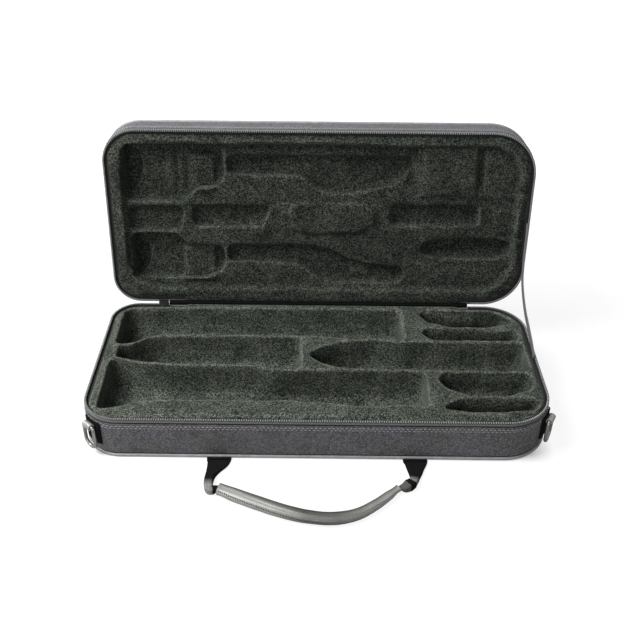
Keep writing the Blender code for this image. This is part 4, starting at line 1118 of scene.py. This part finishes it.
# Points round the ribbon, in shares of its width and thickness
RIBBON_OUTLINE = ((-0.5, -0.3), (-0.47, -0.5), (0.0, -0.5), (0.47, -0.5), (0.5, -0.3),
                  (0.5, 0.3), (0.47, 0.5), (0.0, 0.5), (-0.47, 0.5), (-0.5, 0.3))


def stay_ribbon():
    """Slack ribbon from the lid to the base."""
    low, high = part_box("lid_stay_ribbon")
    x = (low.x + high.x) / 2
    route = smooth_route([(x, y, z) for y, z in RIBBON_ROUTE], 6)
    normal = Vector((1.0, 0.0, 0.0))
    sections = []
    for index, point in enumerate(route):
        ahead = ahead_at(route, index).normalized()
        across = Vector((0.0, -ahead.z, ahead.y))
        sections.append([point + across * RIBBON_WIDE * share + normal * RIBBON_THICK * face
                         for share, face in RIBBON_OUTLINE])
    bm = sweep(sections)
    piece = finish_piece("stay_ribbon", bm, RIBBON, None, ("lid_stay_ribbon",))
    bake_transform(piece)
    return piece


# Handle

# Stations from tab to tab: plan point, width and height; the grip's have a share of fullness
HANDLE_LEFT = ((-0.10825, -0.1176, 0.0270, 0.0018), (-0.1089, -0.1218, 0.0248, 0.0020),
               (-0.1100, -0.1260, 0.0220, 0.0026), (-0.1127, -0.1346, 0.0156, 0.0044),
               (-0.1149, -0.1434, 0.0112, 0.0066), (-0.1158, -0.1518, 0.0100, 0.0084),
               (-0.1155, -0.1598, 0.0094, 0.0084), (-0.1128, -0.1652, 0.0092, 0.0084))
HANDLE_GRIP = ((-0.1039, -0.1654, 0.90), (-0.0866, -0.1735, 0.92), (-0.0698, -0.1809, 0.93),
               (-0.0433, -0.1922, 0.93), (-0.0174, -0.2007, 0.90), (0.0065, -0.2045, 0.86),
               (0.0251, -0.2033, 0.83), (0.0423, -0.1978, 0.77), (0.0601, -0.1857, 0.69),
               (0.0747, -0.1727, 0.61), (0.0860, -0.1618, 0.55))
HANDLE_RIGHT = ((0.0945, -0.1585, 0.0108, 0.0088), (0.1010, -0.1535, 0.0104, 0.0086),
                (0.1046, -0.1475, 0.0096, 0.0076), (0.1058, -0.1420, 0.0118, 0.0058),
                (0.1067, -0.1357, 0.0155, 0.0044), (0.1074, -0.1271, 0.0203, 0.0028),
                (0.1080, -0.1215, 0.0240, 0.0020), (0.10825, -0.1176, 0.0270, 0.0018))
GRIP_RISE = 0.0060
CORE_WIDTH = 0.0086
CORE_TALL = 0.0034
SLEEVE_ALL_ROUND = 0.0040
STRAP_FLOOR = 0.0003
HANDLE_STEPS = 6
GRIP_SIDES = 60
GRIP_SQUARENESS = 0.74
GRIP_CREASE = 0.0009
CREASE_WIDTH = 0.12
GRIP_GROOVE = 0.0004
GROOVE_WIDTH = 0.11
GROOVE_LIP = 0.30
GROOVE_LIP_WIDTH = 0.16
GRIP_PINCH = 0.06
GRIP_PINCH_LONG = 1.2
GRIP_DENTS = 0.00025
GRIP_DENT_SIZE = 0.014
GRIP_STITCH = (0.0012, 0.0013, 0.0013)
GRIP_STITCH_PITCH = 0.0027
STITCH_PLACES = 90
STRAP_SIDES = 24
STRAP_SQUARENESS = 0.42


def oval(centre, heading, width, tall, sides, squareness):
    """A rounded section across the handle's path, from its outer edge over the top."""
    across = Vector((heading.y, -heading.x, 0.0)).normalized()
    points = []
    for index in range(sides):
        angle = 2 * math.pi * (index + 0.5) / sides
        side = math.copysign(abs(math.cos(angle)) ** squareness, math.cos(angle))
        up = math.copysign(abs(math.sin(angle)) ** squareness, math.sin(angle))
        points.append(centre + across * width / 2 * side + Vector((0.0, 0.0, tall / 2 * up)))
    return points


def handle_route():
    """Stations from tab to tab: plan point, width, height; and where the grip starts and ends."""
    grip = [(x, y, CORE_WIDTH * full, CORE_TALL * full) for x, y, full in HANDLE_GRIP]
    points = [Vector(point) for point in HANDLE_LEFT + tuple(grip) + HANDLE_RIGHT]
    route = smooth_route(points, HANDLE_STEPS)
    return route, len(HANDLE_LEFT) * HANDLE_STEPS, (len(HANDLE_LEFT) + len(grip) - 1) * HANDLE_STEPS


ROUTE, GRIP_START, GRIP_END = handle_route()
NECK_START = 44
BINDING_END = GRIP_END + 8
BAND_END = GRIP_END + 13


def route_heading(index):
    """Which way the strap runs there: straight out of the tabs, then along the route."""
    ahead = ahead_at(ROUTE, index)
    heading = Vector((ahead.x, ahead.y, 0.0)).normalized()
    from_tab = min(index, len(ROUTE) - 1 - index)
    if from_tab < HANDLE_STEPS:
        straight = Vector((0.0, -1.0 if index < HANDLE_STEPS else 1.0, 0.0))
        heading = straight.lerp(heading, from_tab / HANDLE_STEPS).normalized()
    return heading


def route_centre(index):
    """Middle of the strap: it lies on the floor and rises into the grip."""
    station = ROUTE[index]
    rise = min(GRIP_RISE, STRAP_FLOOR + station[3] / 2)
    reach = HANDLE_STEPS
    if GRIP_START - reach < index < GRIP_START:
        rise += (GRIP_RISE - rise) * (index - GRIP_START + reach) / reach
    elif GRIP_END < index < GRIP_END + reach:
        rise += (GRIP_RISE - rise) * (GRIP_END + reach - index) / reach
    elif GRIP_START <= index <= GRIP_END:
        rise = GRIP_RISE
    return Vector((station[0], station[1], rise))


def strap_piece(name, start, end, material, swell=0.0, stands_for=()):
    """A stretch of the handle's webbing between two stations."""
    sections = [oval(route_centre(index), route_heading(index), ROUTE[index][2] + swell,
                     ROUTE[index][3] + swell, STRAP_SIDES, STRAP_SQUARENESS)
                for index in range(start, end + 1)]
    return finish_piece(name, sweep(sections), material, "handle", stands_for)


def grip_angles(share):
    """Where the sleeve's seam and its crease are at a share of its length: the sleeve winds a little."""
    return math.radians(38.0 - 76.0 * share), math.radians(104.0 - 52.0 * share)


def rounded(distance, width):
    """A smooth hump: 1 in its middle, soon 0 on both sides."""
    return math.exp(-(distance / width) ** 2)


def grip_section(index, sides):
    """The sleeve's outline at a station: a squarish oval with a sewn groove and a soft crease."""
    station = ROUTE[index]
    full = station[3] / CORE_TALL
    end = min(index - GRIP_START, GRIP_END - index)
    pinch = 1.0 - GRIP_PINCH * math.exp(-end / GRIP_PINCH_LONG)
    width = (station[2] + 2 * SLEEVE_ALL_ROUND * full) * pinch
    tall = (station[3] + 2 * SLEEVE_ALL_ROUND * full) * pinch
    centre = route_centre(index)
    seam, crease = grip_angles((index - GRIP_START) / (GRIP_END - GRIP_START))
    shaped = []
    for number, point in enumerate(oval(centre, route_heading(index), width, tall, sides, GRIP_SQUARENESS)):
        angle = 2 * math.pi * (number + 0.5) / sides
        from_seam = math.remainder(angle - seam, 2 * math.pi)
        from_crease = math.remainder(angle - crease, 2 * math.pi)
        push = GRIP_CREASE * rounded(from_crease, CREASE_WIDTH)
        push -= GRIP_GROOVE * rounded(from_seam, GROOVE_WIDTH)
        push += GRIP_GROOVE * 0.5 * rounded(from_seam + GROOVE_LIP, GROOVE_LIP_WIDTH)
        shaped.append(point + (point - centre).normalized() * push)
    return shaped


def grip_sleeve():
    """Stitched leather round the padded strap."""
    bm = sweep([grip_section(index, GRIP_SIDES) for index in range(GRIP_START, GRIP_END + 1)])
    bm.normal_update()
    unevenness(bm, GRIP_DENTS, GRIP_DENT_SIZE, 9.0, inward=False)
    piece = finish_piece("grip", bm, SLEEVE, "handle", ("handle_sleeve", "handle_pad"), sharp=60)
    return piece


def grip_stitches():
    """Stitches in the sleeve's groove."""
    bm = bmesh.new()
    stitch = small_shape(GRIP_STITCH, 0.0002)
    travelled = 0.0
    for index in range(GRIP_START + 1, GRIP_END - 1):
        length = (route_centre(index + 1) - route_centre(index)).length
        here, there = grip_section(index, STITCH_PLACES), grip_section(index + 1, STITCH_PLACES)
        heading = route_heading(index)
        across = Vector((heading.y, -heading.x, 0.0))
        while travelled < length:
            share = travelled / length
            seam = grip_angles((index + share - GRIP_START) / (GRIP_END - GRIP_START))[0]
            nearest = round(seam / (2 * math.pi) * STITCH_PLACES - 0.5) % STITCH_PLACES
            place = Matrix((heading, across, (0, 0, 1))).transposed().to_4x4()
            place.translation = here[nearest].lerp(there[nearest], share)
            copies(bm, stitch, [place @ Matrix.Rotation(seam, 4, "X")])
            travelled += GRIP_STITCH_PITCH
        travelled -= length
    return finish_piece("grip_stitches", bm, GRIP_THREAD, "handle", ())


def handle_tab(node):
    """Webbing sewn into the front seam, where the handle starts."""
    low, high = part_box(node)
    bm = block(high - low, 0.0005, 2, (low + high) / 2)
    lay_cloth(bm, lambda point: (point.y, point.x))
    return finish_piece(node + "_webbing", bm, WEBBING, "base", (node,))


# Carrying rings

RING_WIRE = 0.0020
RING_HALF = 0.0085
RING_DROP = 0.0300
RING_CORNER = 0.0030
RING_BAR_HEIGHT = 0.0400
RING_STANDOFF = 0.0056
RING_PATCH_LOW = 0.0160
RING_PATCH_TALL = 0.0300
RING_PATCH_WIDTH = 0.0240
WEBBING_THICK = 0.0018
RING_CLEAR = 0.0003
RING_SOFT = 0.0005
RING_LOOP_GAP = 0.0006
RING_SIDES = 14
RING_LOOP_SIDES = 28
RING_PATCH_STEPS = 16
RINGS = {"left": (CORNERS[3], math.radians(228)), "right": (CORNERS[0], math.radians(331))}


def arc_points(centre, radius, start, end, steps):
    """Points on an arc, both ends among them."""
    return [Vector((centre[0] + radius * math.cos(start + (end - start) * step / steps),
                    centre[1] + radius * math.sin(start + (end - start) * step / steps)))
            for step in range(steps + 1)]


def ring_place(side):
    """Where a ring's bar is: x runs along it, y out from the corner."""
    (radius, corner), direction = RINGS[side]
    outward = Vector((math.cos(direction), math.sin(direction)))
    bar = corner + outward * (radius + RING_STANDOFF)
    turn = Matrix.Rotation(direction + math.pi / 2, 4, "Z")
    return Matrix.Translation((bar.x, bar.y, RING_BAR_HEIGHT)) @ turn


def d_ring(side):
    """Round wire bent to a D that hangs from its straight bar."""
    small, half = RING_CORNER, RING_HALF
    path = arc_points((half - small, -small), small, math.pi / 2, 0.0, 5)
    path += arc_points((0.0, half - RING_DROP), half, 0.0, -math.pi, 16)
    path += arc_points((small - half, -small), small, math.pi, math.pi / 2, 5)
    sections = []
    count = len(path)
    for index, point in enumerate(path):
        ahead = (path[(index + 1) % count] - path[index - 1]).normalized()
        outward = Vector((ahead.y, 0.0, -ahead.x))
        section = []
        for step in range(RING_SIDES):
            angle = 2 * math.pi * step / RING_SIDES
            section.append(Vector((point.x, 0.0, point.y)) + RING_WIRE * (
                outward * math.cos(angle) + Vector((0.0, 1.0, 0.0)) * math.sin(angle)))
        sections.append(section)
    bm = sweep(sections, closed_path=True)
    bmesh.ops.transform(bm, matrix=ring_place(side), verts=bm.verts[:])
    node = side + "_d_ring"
    return finish_piece(side + "_ring_wire", bm, NICKEL, side + "_ring", (node,))


def ring_tab(side):
    """Webbing patch round the corner, and the loop that holds the ring's bar."""
    (radius, corner), direction = RINGS[side]
    reach = RING_PATCH_WIDTH / (2 * radius)
    inner, outer = radius + RING_CLEAR, radius + RING_CLEAR + WEBBING_THICK
    low, high = RING_PATCH_LOW, RING_PATCH_LOW + RING_PATCH_TALL
    sections = []
    for step in range(RING_PATCH_STEPS + 1):
        angle = direction - reach + 2 * reach * step / RING_PATCH_STEPS
        out = Vector((math.cos(angle), math.sin(angle)))
        thin = 0.4 if step in (0, RING_PATCH_STEPS) else 1.0
        face = inner + (outer - inner) * thin
        section = []
        for size, z in ((inner, low + RING_SOFT), (inner, high - RING_SOFT), (face - RING_SOFT, high),
                        (face, high - RING_SOFT), (face, (low + high) / 2), (face, low + RING_SOFT),
                        (face - RING_SOFT, low)):
            point = corner + out * size
            section.append((point.x, point.y, z))
        sections.append(section)
    finish_piece(side + "_ring_patch", sweep(sections), WEBBING, "base", (side + "_ring_tab",))
    eye = RING_WIRE + RING_CLEAR
    top = eye + WEBBING_THICK
    half = RING_HALF - RING_WIRE - RING_LOOP_GAP
    outline = ((-half, eye), (-half, top - RING_SOFT), (RING_SOFT - half, top), (0.0, top),
               (half - RING_SOFT, top), (half, top - RING_SOFT), (half, eye))
    loops = []
    for step in range(RING_LOOP_SIDES):
        angle = 2 * math.pi * step / RING_LOOP_SIDES
        out = Vector((0.0, math.cos(angle), math.sin(angle)))
        loops.append([Vector((x, 0.0, 0.0)) + out * size for x, size in outline])
    loop = sweep(loops, closed_path=True)
    bmesh.ops.transform(loop, matrix=ring_place(side), verts=loop.verts[:])
    return finish_piece(side + "_ring_clip", loop, CLIP, "base", ())


# Floor, light and camera

FOOTPRINT = (HALF_LENGTH - 0.02, HALF_DEPTH - 0.004, 0.0)
# Fades by the distance from the footprint: start, end, low and high
FLOOR_SHADE = (0.0, 0.026, 0.0, 1.0)
FLOOR_GLOWS = ((0.20, 0.60, 0.0, 0.25), (0.0, 0.026, 0.24, 0.88))
FLOOR_NEAR = 0.74
FLOOR_FAR = 0.13
FLOOR_BOUNCE = 0.42
WORLD_LIGHT = 0.18
# Lamps: name, place, aim, size and power
LAMPS = (
    ("overhead", (-0.95, -0.16, 1.42), (0.0, 0.02, 0.0), (0.8, 0.9), 48.0),
    ("front", (-0.4, -1.9, 0.9), (0.0, 0.0, 0.1), (1.2, 0.8), 13.5),
)
LENS = 50.45
CAMERA_PLACE = (-0.007, -0.817, 0.6858)
# Turns about z, x and then z again, in degrees
CAMERA_TURNS = ((0.02, "Z"), (90 - 34.711, "X"), (0.568, "Z"))


def floor_finish():
    """White ground that glows to the camera, a little darker close to the case."""
    finish = Finish("floor", 0.9)
    away = finish.place()
    for operation, other in (("ABSOLUTE", (0, 0, 0)), ("SUBTRACT", FOOTPRINT), ("MAXIMUM", (0, 0, 0))):
        away = finish.node("ShaderNodeVectorMath", {"operation": operation}, i0=away, i1=other).outputs[0]
    away = finish.node("ShaderNodeVectorMath", {"operation": "LENGTH"}, i0=away).outputs["Value"]
    fades = []
    for start, end, low, high in (FLOOR_SHADE, *FLOOR_GLOWS):
        fade = finish.node("ShaderNodeMapRange", Value=away, From_Min=start, From_Max=end, To_Min=low,
                           To_Max=high)
        fades.append(fade.outputs[0])
    seen = finish.node("ShaderNodeLightPath").outputs["Is Camera Ray"]
    ground = finish.mix(seen, FLOOR_BOUNCE, finish.mix(fades[0], FLOOR_NEAR, FLOOR_FAR))
    finish.feed(finish.shader, "Base Color", ground)
    strength = finish.math("MULTIPLY", seen, finish.math("ADD", fades[1], fades[2]))
    glow = finish.node("ShaderNodeEmission", Strength=strength)
    both = finish.node("ShaderNodeAddShader", i0=finish.shader.outputs[0], i1=glow.outputs[0])
    finish.feed(finish.tree.nodes["Material Output"], "Surface", both.outputs[0])
    return finish.material


def ground():
    """The floor of the studio."""
    bm = bmesh.new()
    bmesh.ops.create_grid(bm, x_segments=1, y_segments=1, size=6.0)
    floor = held_mesh(bm, "floor")
    floor.data.materials.append(floor_finish())


def studio_light():
    """White surroundings, bright to the camera and in reflections, and two soft lamps."""
    world = bpy.data.worlds.new("studio")
    bpy.context.scene.world = world
    world.use_nodes = True
    studio = Nodes(world.node_tree)
    rays = studio.node("ShaderNodeLightPath")
    seen = studio.math("MAXIMUM", rays.outputs["Is Camera Ray"], rays.outputs["Is Glossy Ray"])
    level = studio.node("ShaderNodeMapRange", Value=seen, To_Min=WORLD_LIGHT, To_Max=1.0)
    background = studio.tree.nodes["Background"]
    studio.feed(background, "Color", 1.0)
    studio.feed(background, "Strength", level.outputs[0])
    for name, place, aim, size, power in LAMPS:
        lamp = bpy.data.lights.new(name, "AREA")
        lamp.shape = "RECTANGLE"
        lamp.size, lamp.size_y = size
        lamp.energy = power
        holder = bpy.data.objects.new(name, lamp)
        holder.location = place
        holder.rotation_euler = (Vector(aim) - Vector(place)).to_track_quat("-Z", "Y").to_euler()
        bpy.context.scene.collection.objects.link(holder)


def camera():
    """The photograph's camera."""
    lens = bpy.data.cameras.new("camera")
    lens.lens = LENS
    lens.sensor_width = 36.0
    holder = bpy.data.objects.new("camera", lens)
    place = Matrix.Translation(CAMERA_PLACE)
    for degrees, axis in CAMERA_TURNS:
        place = place @ Matrix.Rotation(math.radians(degrees), 4, axis)
    holder.matrix_world = place
    bpy.context.scene.collection.objects.link(holder)
    bpy.context.scene.camera = holder


camera()
ground()
studio_light()
bpy.context.scene.view_settings.view_transform = "Standard"

plush_insert("base", BASE_HEIGHT, 1.0)
plush_insert("lid", LID_HEIGHT, 5.0)
for half, tall, panel, chain_left in (("base", BASE_HEIGHT, "base_bottom_panel", WEB_LEFT - END_GAP),
                                      ("lid", LID_HEIGHT, "lid_top_panel", SLIDER_LOW.x - END_GAP)):
    side_band(half, tall)
    welt_cord(half, tall)
    zip_tape(half, tall)
    zip_chain(half, tall, chain_left, WEB_RIGHT + END_GAP)
    stitch_rows(half, tall)
    outer_panel(half, tall, panel)
hinge_fabric("hinge_fabric", DARK_NYLON, 0.0, WEB_THICK, ("base_hinge_web", "lid_hinge_web"))
hinge_fabric("hinge_backing", NYLON, 0.0005, 0.0004, ())
stay_ribbon()
strap_piece("left_webbing", 0, NECK_START, LEFT_WEBBING)
strap_piece("left_neck", NECK_START, GRIP_START + 1, WEBBING, 0.0006)
grip_sleeve()
grip_stitches()
strap_piece("right_neck", GRIP_END - 1, BINDING_END, BINDING)
strap_piece("right_band", BINDING_END, BAND_END, WEBBING, 0.0008)
strap_piece("right_webbing", BAND_END, len(ROUTE) - 1, RIGHT_WEBBING, 0.0, ("handle_strap",))
handle_tab("left_handle_tab")
handle_tab("right_handle_tab")
for side in ("left", "right"):
    d_ring(side)
    ring_tab(side)
for node, material in (("base_shell", BOARD), ("lid_shell", BOARD), ("zip_slider", GUNMETAL),
                       ("zip_pull", GUNMETAL)):
    for place in frame["nodes"][node].material_slots:
        place.material = material
